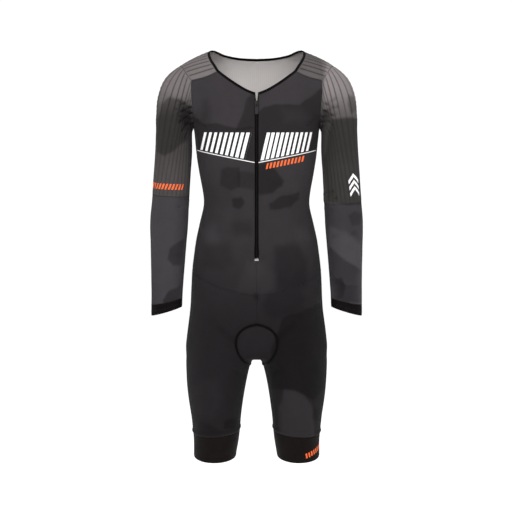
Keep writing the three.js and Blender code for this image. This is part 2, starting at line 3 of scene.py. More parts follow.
import bmesh
import bpy
import numpy as np
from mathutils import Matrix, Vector


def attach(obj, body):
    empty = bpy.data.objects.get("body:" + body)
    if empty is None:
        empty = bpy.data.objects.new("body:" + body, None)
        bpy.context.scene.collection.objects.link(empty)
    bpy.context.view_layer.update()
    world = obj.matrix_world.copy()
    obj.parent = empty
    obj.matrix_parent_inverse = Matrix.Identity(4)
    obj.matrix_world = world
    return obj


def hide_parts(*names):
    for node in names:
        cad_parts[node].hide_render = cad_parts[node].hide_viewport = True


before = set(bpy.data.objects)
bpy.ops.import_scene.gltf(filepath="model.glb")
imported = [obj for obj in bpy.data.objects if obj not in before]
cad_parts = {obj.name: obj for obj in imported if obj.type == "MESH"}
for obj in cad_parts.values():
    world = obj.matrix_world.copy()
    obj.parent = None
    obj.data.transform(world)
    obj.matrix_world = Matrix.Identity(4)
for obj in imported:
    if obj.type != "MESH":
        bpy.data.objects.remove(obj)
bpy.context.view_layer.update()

# The garment's form. It repeats the CAD source's tables, in millimetres with +Z up and the front at -Y.
MM = 0.001
CLOTH = 1.1


def table(names, rows):
    """Named columns of a table whose rows run down the body."""
    return dict(zip(names.split(), np.array(rows, float).T))


TRUNK = table("z half front back", [
    [30, 15, 10, 25],
    [0, 38, 34, 50],
    [-22, 52, 48, 60],
    [-50, 76, 62, 74],
    [-80, 106, 75, 87],
    [-108, 133, 85, 96],
    [-150, 149, 97, 103],
    [-189, 152, 106, 106],
    [-228, 149, 111, 106],
    [-267, 145, 110, 101],
    [-306, 139, 106, 93],
    [-345, 132, 101, 84],
    [-366, 129.5, 98, 80],
    [-386, 130.5, 96, 78],
    [-424, 139.5, 95, 80],
    [-464, 148.5, 96, 89],
    [-504, 154.5, 97, 99],
    [-544, 159, 96, 108],
    [-624, 163.5, 91, 118],
    [-704, 171, 84, 111],
    [-745, 170, 78, 100],
    [-800, 150, 70, 85],
])
TRUNK_ROUNDNESS = 2.3
TRUNK_BOTTOM = -758
TRUNK_BOTTOM_BLEND = 40

LEG = table("z x half front back", [
    [-640, 86, 64, 62, 88],
    [-704, 90, 76, 80, 103],
    [-745, 92.5, 81.5, 86, 104],
    [-765, 93.3, 82.5, 86, 102],
    [-786, 96.8, 78.8, 86, 98],
    [-826, 100.2, 73.4, 84, 90],
    [-867, 101.5, 68, 80, 82],
    [-908, 101.2, 62.3, 75, 74],
    [-950, 100.6, 58.3, 70, 67],
    [-970, 101.1, 56.3, 68, 65],
    [-1006, 104.2, 53.4, 65, 62],
    [-1040, 106, 53, 64, 61],
])

ARM = table("x y z across depth", [
    [60, 8, -84, 86, 86],
    [92, 8, -88, 85, 84],
    [121, 7, -93, 77, 79],
    [147, 5, -103, 72, 72],
    [170, 3, -120, 70, 66],
    [187, 1, -143, 59, 61],
    [197.5, 0, -170, 47, 57],
    [201, -1, -200, 43.6, 53],
    [202.5, -2, -247, 44.5, 49],
    [206.5, -2, -306, 44.7, 46],
    [210.5, 0, -363, 45.4, 44],
    [214.3, -6, -421, 46.6, 42],
    [216, -18, -481, 43.6, 38],
    [217.5, -32, -541, 40.3, 32],
    [218.7, -46, -600, 38, 27],
    [219.5, -58, -660, 37, 23],
])
ARM_STEPS = 60
ARM_REACH = 80
SHOULDER_BLEND = {"soft": 32, "tight": 8, "from": -200, "to": -140}
HIP_BLEND = 18
CROTCH_BLEND = 12


def smooth(low, high, value):
    t = np.clip((value - low) / (high - low), 0, 1)
    return t * t * (3 - 2 * t)


def mix(a, b, t):
    return a + (b - a) * t


def unit(vectors):
    return vectors / np.linalg.norm(vectors, axis=-1, keepdims=True)


def column(rows, name, z):
    """One column of a table at the heights z, on a smooth curve through its rows."""
    zs, vs = rows["z"], rows[name]
    last = len(zs) - 2
    i = np.clip(np.searchsorted(-zs, -z, side="left") - 1, 0, last)
    before, after = np.maximum(i - 1, 0), np.minimum(i + 2, last + 1)
    span = zs[i + 1] - zs[i]
    slope_a = (vs[i + 1] - vs[before]) / (zs[i + 1] - zs[before]) * span
    slope_b = (vs[after] - vs[i]) / (zs[after] - zs[i]) * span
    t = np.clip((z - zs[i]) / span, 0, 1)
    t2, t3 = t * t, t * t * t
    return (vs[i] * (2 * t3 - 3 * t2 + 1) + vs[i + 1] * (3 * t2 - 2 * t3)
            + slope_a * (t3 - 2 * t2 + t) + slope_b * (t3 - t2))


def part_way(p, d, w):
    """Points part way along the middle one of three steps, on a centripetal curve with the knot steps d."""
    p0, p1, p2, p3 = p
    d0, d1, d2 = d
    t1 = ((p1 - p0) / d0 - (p2 - p0) / (d0 + d1) + (p2 - p1) / d1) * d1
    t2 = ((p2 - p1) / d1 - (p3 - p1) / (d1 + d2) + (p3 - p2) / d2) * d1
    return p1 + t1 * w + (3 * (p2 - p1) - 2 * t1 - t2) * w ** 2 + (2 * (p1 - p2) + t1 + t2) * w ** 3


def spline(points, t):
    """Points at the parameters t (0 to 1) of a centripetal curve through the given points."""
    points = np.asarray(points, float)
    padded = np.vstack([2 * points[0] - points[1], points, 2 * points[-1] - points[-2]])
    place = np.asarray(t, float) * (len(points) - 1)
    i = np.clip(np.floor(place).astype(int), 0, len(points) - 2)
    p = [padded[i + k] for k in range(4)]
    d0, d1, d2 = (np.sqrt(np.linalg.norm(b - a, axis=1))[:, None] for a, b in zip(p, p[1:]))
    d1 = np.where(d1 < 1e-4, 1, d1)
    d0, d2 = (np.where(d < 1e-4, d1, d) for d in (d0, d2))
    return part_way(p, (d0, d1, d2), (place - i)[:, None])


def evenly(points, steps):
    """So many equal steps along the curve through the points."""
    fine = np.linspace(0, 1, 201)
    track = spline(points, fine)
    length = np.concatenate([[0], np.cumsum(np.linalg.norm(np.diff(track, axis=0), axis=1))])
    return spline(points, np.interp(np.linspace(0, length[-1], steps + 1), length, fine))


_even = np.linspace(0, 1, ARM_STEPS + 1)
ARM_AT = spline(np.column_stack([ARM["x"], ARM["y"], ARM["z"]]), _even)
ARM_SIZE = spline(np.column_stack([ARM["across"], ARM["depth"]]), _even)


def union(a, b, softness):
    h = np.maximum(softness - np.abs(a - b), 0) / softness
    return np.minimum(a, b) - h * h * softness / 4


def section(x, y, half, depth, roundness):
    size = ((np.abs(x) / half) ** roundness + (np.abs(y) / depth) ** roundness) ** (1 / roundness)
    reach = np.hypot(x, y)
    return np.where(size < 1e-6, -np.minimum(half, depth), reach - reach / np.maximum(size, 1e-6))


def trunk_distance(x, y, z):
    depth = np.where(y < 0, column(TRUNK, "front", z), column(TRUNK, "back", z))
    tube = section(x, y, column(TRUNK, "half", z), depth, TRUNK_ROUNDNESS)
    return -union(-tube, -(TRUNK_BOTTOM - z), TRUNK_BOTTOM_BLEND)


def leg_distance(x, y, z):
    front, back = column(LEG, "front", z), column(LEG, "back", z)
    across, forward = x - column(LEG, "x", z), y - (back - front) / 2
    tube_form = section(across, forward, column(LEG, "half", z), (front + back) / 2, 2)
    return np.maximum(tube_form, z - LEG["z"][0])


def arm_distance(x, y, z):
    point = np.stack([x, y, z], -1)
    nearest = np.full(x.shape, np.inf)
    place, t_near = np.zeros(x.shape, int), np.zeros(x.shape)
    off = np.zeros(point.shape)
    for i in range(ARM_STEPS):
        a = ARM_AT[i]
        d = ARM_AT[i + 1] - a
        t = np.clip((point - a) @ d / (d @ d), 0, 1)
        away = point - a - t[..., None] * d
        far = np.linalg.norm(away, axis=-1)
        closer = far < nearest
        nearest = np.where(closer, far, nearest)
        place, t_near = np.where(closer, i, place), np.where(closer, t, t_near)
        off = np.where(closer[..., None], away, off)
    size = ARM_SIZE[place] * (1 - t_near[..., None]) + ARM_SIZE[place + 1] * t_near[..., None]
    return section(np.hypot(off[..., 0], off[..., 2]), off[..., 1], size[..., 0], size[..., 1], 2)


def garment(p):
    """Distance from the garment's outer surface, for points in an array of shape (..., 3)."""
    flat = p.reshape(-1, 3)
    x, y, z = np.abs(flat[:, 0]), flat[:, 1], flat[:, 2]
    made = trunk_distance(x, y, z)
    high = np.nonzero(z > ARM_AT[-1][2] - ARM_REACH)[0]
    if len(high):
        t = smooth(SHOULDER_BLEND["from"], SHOULDER_BLEND["to"], z[high])
        softness = mix(SHOULDER_BLEND["tight"], SHOULDER_BLEND["soft"], t)
        made[high] = union(made[high], arm_distance(x[high], y[high], z[high]), softness)
    low = np.nonzero(z < LEG["z"][0])[0]
    if len(low):
        x, y, z = x[low], y[low], z[low]
        legs = union(leg_distance(x, y, z), leg_distance(-x, y, z), CROTCH_BLEND)
        made[low] = union(made[low], legs, HIP_BLEND)
    return made.reshape(p.shape[:-1])


PROBE = 0.4


def slope(p):
    probes = np.concatenate([p[None] + s * PROBE * axis for axis in np.eye(3) for s in (1, -1)])
    d = garment(probes.reshape((6,) + p.shape))
    return np.stack([d[0] - d[1], d[2] - d[3], d[4] - d[5]], -1) / (2 * PROBE)


def settle(p, rounds=5):
    """Moves points square onto the garment's surface."""
    p = np.array(p, float)
    for _ in range(rounds):
        g = slope(p)
        p = p - g * (garment(p) / np.maximum((g * g).sum(-1), 0.2))[..., None]
    return p


def outward(p):
    return unit(slope(p))


def seam(points, steps):
    return settle(evenly(points, steps))


def join(*runs):
    return np.vstack([run if i == 0 else run[1:] for i, run in enumerate(runs)])


def mirrored(run):
    return run * [-1, 1, 1]


def relax(grid, ring, rounds=90):
    """Evens out a grid on the surface while its edges stay. A ring's last column is its first."""
    for n in range(rounds):
        if ring:
            body = grid[:, :-1]
            middle = (body[:-2] + body[2:] + np.roll(body, 1, 1)[1:-1] + np.roll(body, -1, 1)[1:-1]) / 4
            grid[1:-1, :-1] = settle(middle, 1)
            grid[:, -1] = grid[:, 0]
        else:
            middle = (grid[:-2, 1:-1] + grid[2:, 1:-1] + grid[1:-1, :-2] + grid[1:-1, 2:]) / 4
            grid[1:-1, 1:-1] = settle(middle, 1)
    grid[1:-1] = settle(grid[1:-1], 3)
    return grid


def panel_round(axis_x, start, end, bottom, top):
    """A panel whose rows run round an upright axis from the start edge to the end edge."""
    def polar(p):
        return np.arctan2(p[:, 0] - axis_x, -p[:, 1]), np.hypot(p[:, 0] - axis_x, p[:, 1]), p[:, 2]

    (a_angle, a_reach, a_z), (b_angle, b_reach, b_z) = polar(start), polar(end)
    b_angle = np.where(b_angle <= a_angle, b_angle + 2 * np.pi, b_angle)
    t = np.linspace(0, 1, len(bottom))[None, :]
    angle = mix(a_angle[:, None], b_angle[:, None], t)
    reach = mix(a_reach[:, None], b_reach[:, None], t)
    z = mix(a_z[:, None], b_z[:, None], t)
    grid = settle(np.stack([axis_x + reach * np.sin(angle), -reach * np.cos(angle), z], -1))
    grid[0], grid[-1], grid[:, 0], grid[:, -1] = bottom, top, start, end
    return relax(grid, False)


def panel_across(start, end, bottom, top):
    """A panel filled straight in between its four edges, then laid on the surface."""
    v = np.linspace(0, 1, len(start))[:, None, None]
    u = np.linspace(0, 1, len(bottom))[None, :, None]
    grid = mix(start[:, None], end[:, None], u) + mix(bottom[None], top[None], v)
    grid = grid - mix(mix(bottom[0], bottom[-1], u), mix(top[0], top[-1], u), v)
    return relax(grid, False)


def tube(first, last, rows):
    t = np.linspace(0, 1, rows + 1)[:, None, None]
    grid = mix(first[None], last[None], t)
    grid[1:-1] = settle(grid[1:-1])
    return relax(grid, True)


def ring(centre, half_width, half_depth, steps, height_at):
    """A level or sloping ring round a limb, from its inner side and round by the front."""
    turn = (np.arange(steps + 1) % steps) / steps * 2 * np.pi
    across = -np.cos(turn)
    p = np.stack([centre[0] + half_width * across, centre[1] - half_depth * np.sin(turn), 0 * turn], -1)
    for _ in range(3):
        p[:, 2] = height_at(across, p[:, 1] - centre[1])
        p = settle(p, 2)
    p[:, 2] = height_at(across, p[:, 1] - centre[1])
    return p


# The seams, as in the CAD source
ZIP_TOP, ZIP_END, ZIP_HALF = -127, -505, 4.6
WAIST = -538
WAIST_SAG = {"middle": 54, "belly": 43, "hip": 22, "side": 7}
ELBOW = {"left": -372, "right": -354}
ELBOW_DROP = 4
CUFF_SEAM = {"outer": -619, "inner": -602}
CUFF_HEM = {"outer": -645, "inner": -624}
BAND_SEAM = {"outer": -950, "inner": -941}
LEG_HEM = {"front": -1013, "side": -1009, "back": -1006, "reach": 62}
# Rings round the limbs: the centre, half the width and the depth to start from, and the steps round
RINGS = {
    "elbow": ((211, 0), 45, 44, 52),
    "cuff": ((219, -47), 38, 27, 26),
    "cuff_hem": ((219.5, -54), 37, 24, 26),
    "leg": ((101, -1), 58, 68, 18),
}
NECK_MIDDLE = [ZIP_HALF, -86, -112]
NECK_FRONT = [93, -68, -59]
NECK_BACK = [98, 41, -9]
ARMPIT = [154, 0, -189]
YOKE_FRONT = [155, -62, -79]
YOKE_BACK = [158, 66, -82]
SIDE_WAIST = [160, 4, WAIST]
BACK_WAIST = [0, 108, WAIST]
BELLY = [0, -96, WAIST - WAIST_SAG["middle"]]
INSERT_FRONT = [0, -85, -662]
INSERT_BACK = [0, 112, -676]
INSEAM_TOP = [19, 8, -776]
ZIP_BEND = [ZIP_HALF, -105, -187]
neck_front = seam([NECK_MIDDLE, [12, -86, -110], [36, -85, -98], [66, -80, -79], NECK_FRONT], 5)
neck_side = seam([NECK_FRONT, [110, -42, -34], [118, -6, -8], [112, 20, -2], NECK_BACK], 24)
neck_back = seam(
    [NECK_BACK, [83, 57, -16], [60, 67, -22], [32, 69.5, -25.6], [10, 67.5, -26.8], [0, 67, -26.8]], 5
)
armhole_front = seam([ARMPIT, [153, -24, -180], [153, -52, -150], [155, -62, -112], YOKE_FRONT], 14)
armhole_top = seam(
    [YOKE_FRONT, [168, -50, -62], [179, -32, -46], [189, 0, -38], [180, 34, -46], [169, 54, -62], YOKE_BACK],
    24,
)
armhole_back = seam([YOKE_BACK, [156, 66, -114], [154, 57, -148], [153, 26, -180], ARMPIT], 14)
yoke_front = seam([NECK_FRONT, [114, -68, -69], [134, -68, -74], YOKE_FRONT], 4)
yoke_back = seam([NECK_BACK, [116, 60, -38], [138, 66, -62], YOKE_BACK], 4)
side_seam = seam([SIDE_WAIST, [148, 4, -464], [130, 3, -372], [144, 2, -270], [150, 1, -225], ARMPIT], 10)
zip_foot = [ZIP_HALF, -96, ZIP_END + 6]
zip_low = seam([zip_foot, [ZIP_HALF, -95, -420], [ZIP_HALF, -101, -345], [ZIP_HALF, -111, -240], ZIP_BEND], 8)
zip_high = seam([ZIP_BEND, [ZIP_HALF, -98, -150], NECK_MIDDLE], 14)
waist_front = seam(
    [
        BELLY,
        [60, -90, WAIST - WAIST_SAG["belly"]],
        [120, -62, WAIST - WAIST_SAG["hip"]],
        [150, -30, WAIST - WAIST_SAG["side"]],
        SIDE_WAIST,
    ],
    9,
)
waist_back = seam([SIDE_WAIST, [150, 40, WAIST], [110, 82, WAIST], [55, 104, WAIST], BACK_WAIST], 9)
below_zip = np.vstack([waist_front[:1], settle(np.array([[0.0, -96, ZIP_END]]))])
zip_edge = join(zip_low, zip_high)
front_edge = np.vstack([below_zip, zip_edge])
back_edge = join(side_seam, armhole_back[::-1])
back_top = join(yoke_back[::-1], neck_back)
armhole = join(armhole_front, armhole_top, armhole_back)
insert_front = seam(
    [
        INSERT_FRONT, [26, -84, -670], [44, -80, -686], [50, -74, -706], [47, -64, -732], [36, -46, -762],
        INSEAM_TOP,
    ],
    10,
)
insert_back = seam(
    [
        INSEAM_TOP, [24, 40, -776], [38, 70, -762], [50, 92, -734], [46, 104, -706], [26, 110, -684],
        INSERT_BACK,
    ],
    10,
)
insert_side = join(insert_front, insert_back)
centre_front = seam([INSERT_FRONT, [0, -88, -627], BELLY], 5)
centre_back = seam([INSERT_BACK, [0, 118, -620], BACK_WAIST], 5)


def across_back(run):
    return join(run, mirrored(run)[::-1])


def slant(outer, inner):
    return lambda across, forward: mix(inner, outer, (across + 1) / 2)


def hem_height(across, forward):
    low = np.where(forward < 0, LEG_HEM["front"], LEG_HEM["back"])
    return mix(LEG_HEM["side"], low, np.minimum(np.abs(forward) / LEG_HEM["reach"], 1))


band_top = ring(*RINGS["leg"], slant(**BAND_SEAM))
hem = ring(*RINGS["leg"], hem_height)
inseam = seam([INSEAM_TOP, [30, 7, -840], [39, 5, -900], band_top[0]], 6)


def sleeve_grids(elbow):
    elbow_ring = ring(*RINGS["elbow"], slant(elbow, elbow - ELBOW_DROP))
    cuff_ring = ring(*RINGS["cuff"], slant(**CUFF_SEAM))
    return {
        "sleeve_upper": tube(elbow_ring, armhole, 7),
        "sleeve_lower": tube(cuff_ring, elbow_ring[::2], 7),
        "cuff": tube(ring(*RINGS["cuff_hem"], slant(**CUFF_HEM)), cuff_ring, 2),
    }


def end_arc(run):
    return join(mirrored(run[::-1]), run)


inseam_up = inseam[::-1]
grids = {
    "front": panel_round(
        0, front_edge, join(side_seam, armhole_front), waist_front, join(neck_front, yoke_front)
    ),
    "back": panel_round(0, back_edge, mirrored(back_edge), across_back(waist_back), across_back(back_top)),
    "yoke": panel_across(neck_side, armhole_top, yoke_front, yoke_back),
    "leg": panel_round(
        95,
        join(inseam_up, insert_front[::-1], centre_front),
        join(inseam_up, insert_back, centre_back),
        band_top,
        join(waist_front, waist_back),
    ),
    "leg_band": tube(hem, band_top, 2),
    "insert": panel_across(
        mirrored(insert_side)[4:-4][::-1],
        insert_side[4:-4][::-1],
        end_arc(insert_side[::-1][:5]),
        end_arc(insert_side[:5]),
    ),
}
sleeves = {side: sleeve_grids(elbow) for side, elbow in ELBOW.items()}


# Fine cloth. Each panel's grid is drawn finer, laid on the form and given thickness, seams, ribs and creases.
SEAM_DIP = {"depth": 0.45, "reach": 1.6}
RIB = {"height": 0.6, "dip": 0.25, "groove": 1.7, "fade": 7}
SEAM_LINES = (0.6, 1.5)


def finer(grid, places, axis, ring=False):
    """The grid at new places along one axis, given in steps of the old one, on centripetal curves."""
    g = np.moveaxis(grid, axis, 0)
    before = g[-2:-1] if ring else 2 * g[:1] - g[1:2]
    after = g[1:2] if ring else 2 * g[-1:] - g[-2:-1]
    g = np.concatenate([before, g, after])
    i = np.minimum(places.astype(int), len(g) - 4)
    p = [g[i + k] for k in range(4)]
    d = [np.sqrt(np.maximum(np.linalg.norm(b - a, axis=-1, keepdims=True), 1e-4)) for a, b in zip(p, p[1:])]
    return np.moveaxis(part_way(p, d, (places - i)[:, None, None]), 0, axis)


def places_for(grid, axis, factor, ring=False):
    """Equal parts of each step, with two more lines beside each seam."""
    count = grid.shape[axis] - 1
    base = np.arange(count * factor + 1) / factor
    if ring:
        return base
    lengths = np.linalg.norm(np.diff(grid, axis=axis), axis=-1).mean(axis=1 - axis)
    extra = [mm / lengths[0] for mm in SEAM_LINES] + [count - mm / lengths[-1] for mm in SEAM_LINES]
    clear = np.abs(base[:, None] - extra).min(1) > 0.35 / factor
    keep = base[(base < 0.02) | (base > count - 0.02) | clear]
    return np.sort(np.concatenate([keep, extra]))


def run_lengths(points, axis):
    """Distance along the grid lines from the first row or column."""
    steps = np.linalg.norm(np.diff(points, axis=axis), axis=-1)
    start = np.zeros_like(np.take(steps, [0], axis))
    return np.concatenate([start, np.cumsum(steps, axis)], axis)


class Panel:
    """A fine grid on the surface, with its normals and distances from its edges."""

    def __init__(self, grid, factors, ring=False):
        self.ring = ring
        self.rows_at = places_for(grid, 0, factors[0])
        self.columns_at = places_for(grid, 1, factors[1], ring)
        self.points = settle(finer(finer(grid, self.rows_at, 0), self.columns_at, 1, ring), 1)
        self.normals = outward(self.points)
        if ring:
            self.points[:, -1], self.normals[:, -1] = self.points[:, 0], self.normals[:, 0]
        self.up = run_lengths(self.points, 0)
        self.across = run_lengths(self.points, 1)
        self.from_rows = np.minimum(self.up, self.up[-1:] - self.up)
        self.from_columns = np.minimum(self.across, self.across[:, -1:] - self.across)
        self.from_edge = self.from_rows if ring else np.minimum(self.from_rows, self.from_columns)
        self.width = float(self.across[:, -1].max())
        self.length = float(self.up[-1].max())


def nearest_on(points, a, b):
    """Distance of points from a straight line between two ends."""
    d = b - a
    t = np.clip(((points - a) @ d) / (d @ d), 0, 1)
    return np.linalg.norm(points - a - t[..., None] * d, axis=-1)


# The main creases: ends on the wearer's left or right, width and depth in millimetres.
# A depth under 0 is a trough, and over 0 a ridge. Low banks run beside each one.
CREASE_BANKS = 0.35
CREASES = table("x1 y1 z1 x2 y2 z2 width depth", [
    [158, -56, -140, 186, -54, -122, 4.0, -1.5],
    [157, -50, -152, 192, -48, -140, 3.6, -2.1],
    [157, -42, -163, 190, -44, -156, 3.2, -1.9],
    [158, -30, -173, 186, -38, -170, 3.4, -2.0],
    [160, -16, -182, 182, -26, -184, 3.6, -1.5],
    [148, -46, -170, 120, -72, -184, 6.0, -1.1],
    [149, -30, -186, 126, -62, -206, 6.5, -0.9],
    [157, -54, -128, 184, -54, -142, 2.4, -1.8],
    [157, -48, -143, 188, -50, -163, 2.5, -2.4],
    [156, -40, -157, 184, -46, -183, 2.6, -2.7],
    [156, -30, -169, 178, -42, -204, 2.8, -2.4],
    [158, 50, -146, 188, 50, -130, 4.0, -1.8],
    [158, 40, -162, 190, 42, -150, 3.6, -2.1],
    [158, 26, -175, 184, 34, -172, 3.6, -1.7],
    [150, 44, -168, 118, 78, -190, 6.5, -1.3],
    [166, -10, -352, 184, -38, -344, 3.6, -1.6],
    [166, -6, -360, 190, -44, -361, 3.2, -2.4],
    [166, -4, -369, 186, -42, -376, 3.4, -1.9],
    [167, -2, -380, 180, -36, -392, 4.0, -1.2],
    [176, 30, -366, 200, 44, -352, 6.0, 1.0],
    [-157, -56, -142, -186, -54, -126, 4.0, -1.7],
    [-157, -48, -155, -192, -46, -145, 3.4, -2.2],
    [-157, -38, -166, -188, -42, -160, 3.4, -1.9],
    [-159, -22, -179, -184, -32, -178, 3.8, -1.7],
    [-147, -46, -172, -121, -72, -188, 6.0, -1.0],
    [-157, -55, -126, -186, -54, -137, 2.4, -2.0],
    [-157, -50, -139, -190, -51, -156, 2.5, -2.6],
    [-157, -43, -152, -186, -47, -176, 2.6, -2.9],
    [-156, -34, -164, -181, -44, -196, 2.8, -2.7],
    [-155, -24, -176, -174, -38, -214, 3.0, -2.0],
    [-158, 46, -150, -188, 48, -136, 3.8, -1.9],
    [-158, 34, -168, -188, 40, -158, 3.4, -2.0],
    [-150, 42, -172, -120, 78, -196, 6.5, -1.2],
    [-166, -8, -366, -184, -38, -360, 4.2, -1.3],
    [-166, -4, -377, -188, -40, -381, 3.8, -1.6],
    [-168, 30, -372, -198, 44, -360, 6.0, 0.9],
    [-92, 62, -352, 10, 84, -362, 9.0, -1.8],
    [-20, 82, -376, 98, 60, -388, 8.0, -1.6],
    [-86, 66, -398, 4, 80, -404, 10.0, -1.3],
    [52, -80, -698, 92, -84, -660, 12.0, -1.0],
    [-54, -80, -700, -96, -82, -668, 12.0, -0.9],
    [44, 96, -742, 92, 112, -716, 9.0, -1.8],
    [-44, 96, -744, -98, 110, -722, 9.0, -1.6],
    [38, -34, -800, 58, -62, -776, 7.0, -1.2],
    [-38, -34, -802, -56, -62, -780, 7.0, -1.1],
    [44, 36, -806, 74, 74, -792, 8.0, -1.6],
    [-44, 36, -808, -70, 76, -796, 8.0, -1.4],
    [186, -40, -452, 240, -52, -444, 7.0, -0.8],
    [-188, -46, -500, -238, -58, -488, 7.0, -0.8],
])
CREASE_ENDS = settle(np.stack([CREASES[name] for name in "x1 y1 z1 x2 y2 z2".split()], -1).reshape(-1, 2, 3))

WAVES = np.random.default_rng(11)
WAVE_DIRECTIONS = unit(WAVES.normal(size=(14, 3)))
WAVE_PHASES = WAVES.uniform(0, 2 * np.pi, 14)
WAVE_SIZES = WAVES.uniform(0.7, 1.5, 14)


def wavy(points, size, shift=0.0):
    """A smooth uneven field from about -1 to 1, whose swells are about so many millimetres long."""
    total = 0
    for direction, phase, scale in zip(WAVE_DIRECTIONS, WAVE_PHASES, WAVE_SIZES):
        total = total + np.sin(points @ direction * (2 * np.pi * scale / size) + phase + shift)
    return total / 4.2


def creased(points):
    """How far the cloth stands off its form: its creases and slight unevenness, in millimetres."""
    off = 0.28 * wavy(points, 90) + 0.1 * wavy(points, 31, 2.0)
    for (a, b), width, depth in zip(CREASE_ENDS, CREASES["width"], CREASES["depth"]):
        away = nearest_on(points, a, b)
        banks = np.exp(-((away - 2 * width) / width) ** 2)
        off = off + depth * np.exp(-(away / width) ** 2) - CREASE_BANKS * depth * banks
    return off


# The print's tones, and some painted shade. The cloth is a plain dark camouflage of soft-edged patches, lighter
# or darker than its base; the sleeve patches marked painted shade stand for shade, in whole or in part. Each
# one is a strength and the x and z of its corners.
PATCHES = {
    "faint chest, beside the right armhole": (-0.21, [
        (-125, -127), (-118, -127), (-113, -148), (-113, -179), (-128, -181), (-130, -153)]),
    "chest, right of the zip": (-0.42, [(-1, -101), (-18, -127), (-32, -158), (-46, -193), (-1, -193)]),
    "print's ground, right": (-0.42, [
        (-150, -167), (-128, -184), (-98, -179), (-72, -188), (-44, -193), (-1, -193), (-1, -268),
        (-138, -244)]),
    "chest, left": (-0.45, [
        (1, -158), (20, -144), (43, -139), (74, -137), (103, -139), (124, -125), (141, -113),
        (165, -94), (166, -167), (141, -244), (1, -268)]),
    "faint chest, left, its light middle": (0.26, [
        (60, -144), (110, -146), (125, -167), (108, -177), (65, -174)]),
    "belly, right, high": (-0.38, [
        (-82, -292), (-68, -282), (-42, -284), (-42, -327), (-61, -337), (-85, -323)]),
    "belly, right, to the zip": (-0.3, [(-42, -294), (-4, -298), (-4, -334), (-42, -329)]),
    "belly, right, low": (-0.45, [(-58, -358), (-39, -353), (-32, -365), (-42, -380), (-56, -375)]),
    "belly, left, high": (-0.48, [
        (3, -279), (24, -272), (43, -289), (60, -313), (58, -327), (36, -341), (10, -348), (3, -346)]),
    "belly, left, low": (-0.42, [
        (29, -368), (48, -358), (77, -354), (99, -343), (99, -360), (82, -374), (53, -382), (32, -380)]),
    "faint belly, right, light": (-0.1, [
        (-124, -330), (-87, -323), (-63, -342), (-56, -356), (-73, -376), (-117, -376)]),
    "faint belly, left, light": (0.04, [
        (62, -284), (103, -273), (133, -268), (127, -331), (96, -338), (67, -332)]),
    "faint waist, right, light": (0.26, [(-132, -437), (-102, -425), (-93, -453), (-122, -467)]),
    "faint waist, left, light": (0.18, [(94, -434), (119, -431), (132, -456), (104, -466)]),
    "faint waist, beside the zip": (-0.28, [(-59, -418), (-16, -413), (-13, -439), (-49, -442)]),
    "faint hip, right": (-0.2, [(-122, -474), (-68, -464), (-54, -509), (-83, -529), (-127, -523)]),
    "faint hip, left": (-0.34, [(42, -475), (97, -468), (120, -512), (118, -572), (52, -576), (44, -524)]),
    "faint hip, light middle": (0.25, [
        (-21, -509), (18, -509), (37, -543), (39, -577), (1, -587), (-45, -575), (-33, -540)]),
    "hip, small mark": (-0.4, [(-5, -588), (3, -588), (1, -599), (-4, -598)]),
    "faint thigh, left, high": (-0.25, [
        (27, -587), (105, -579), (120, -605), (105, -643), (32, -646), (13, -611)]),
    "thigh, left": (-0.36, [
        (64, -649), (169, -615), (175, -740), (173, -832), (135, -847), (106, -829), (67, -818),
        (36, -830), (37, -731)]),
    "leg, left, light": (0.93, [
        (64, -824), (93, -826), (115, -839), (130, -861), (138, -889), (139, -950), (60, -947),
        (55, -886)]),
    "leg, left, inner strip": (-0.22, [(48, -878), (60, -885), (60, -942), (51, -944)]),
    "leg, left, outer strip": (-0.3, [(141, -874), (151, -887), (149, -905), (138, -897)]),
    "leg, right, low": (-0.22, [(-144, -912), (-124, -912), (-104, -921), (-80, -933), (-142, -940)]),
    "leg, right, inner": (-0.35, [(-80, -904), (-53, -905), (-51, -927), (-78, -923)]),
    "faint leg, right, light": (0.22, [
        (-159, -819), (-101, -799), (-84, -850), (-104, -895), (-149, -886)]),
}
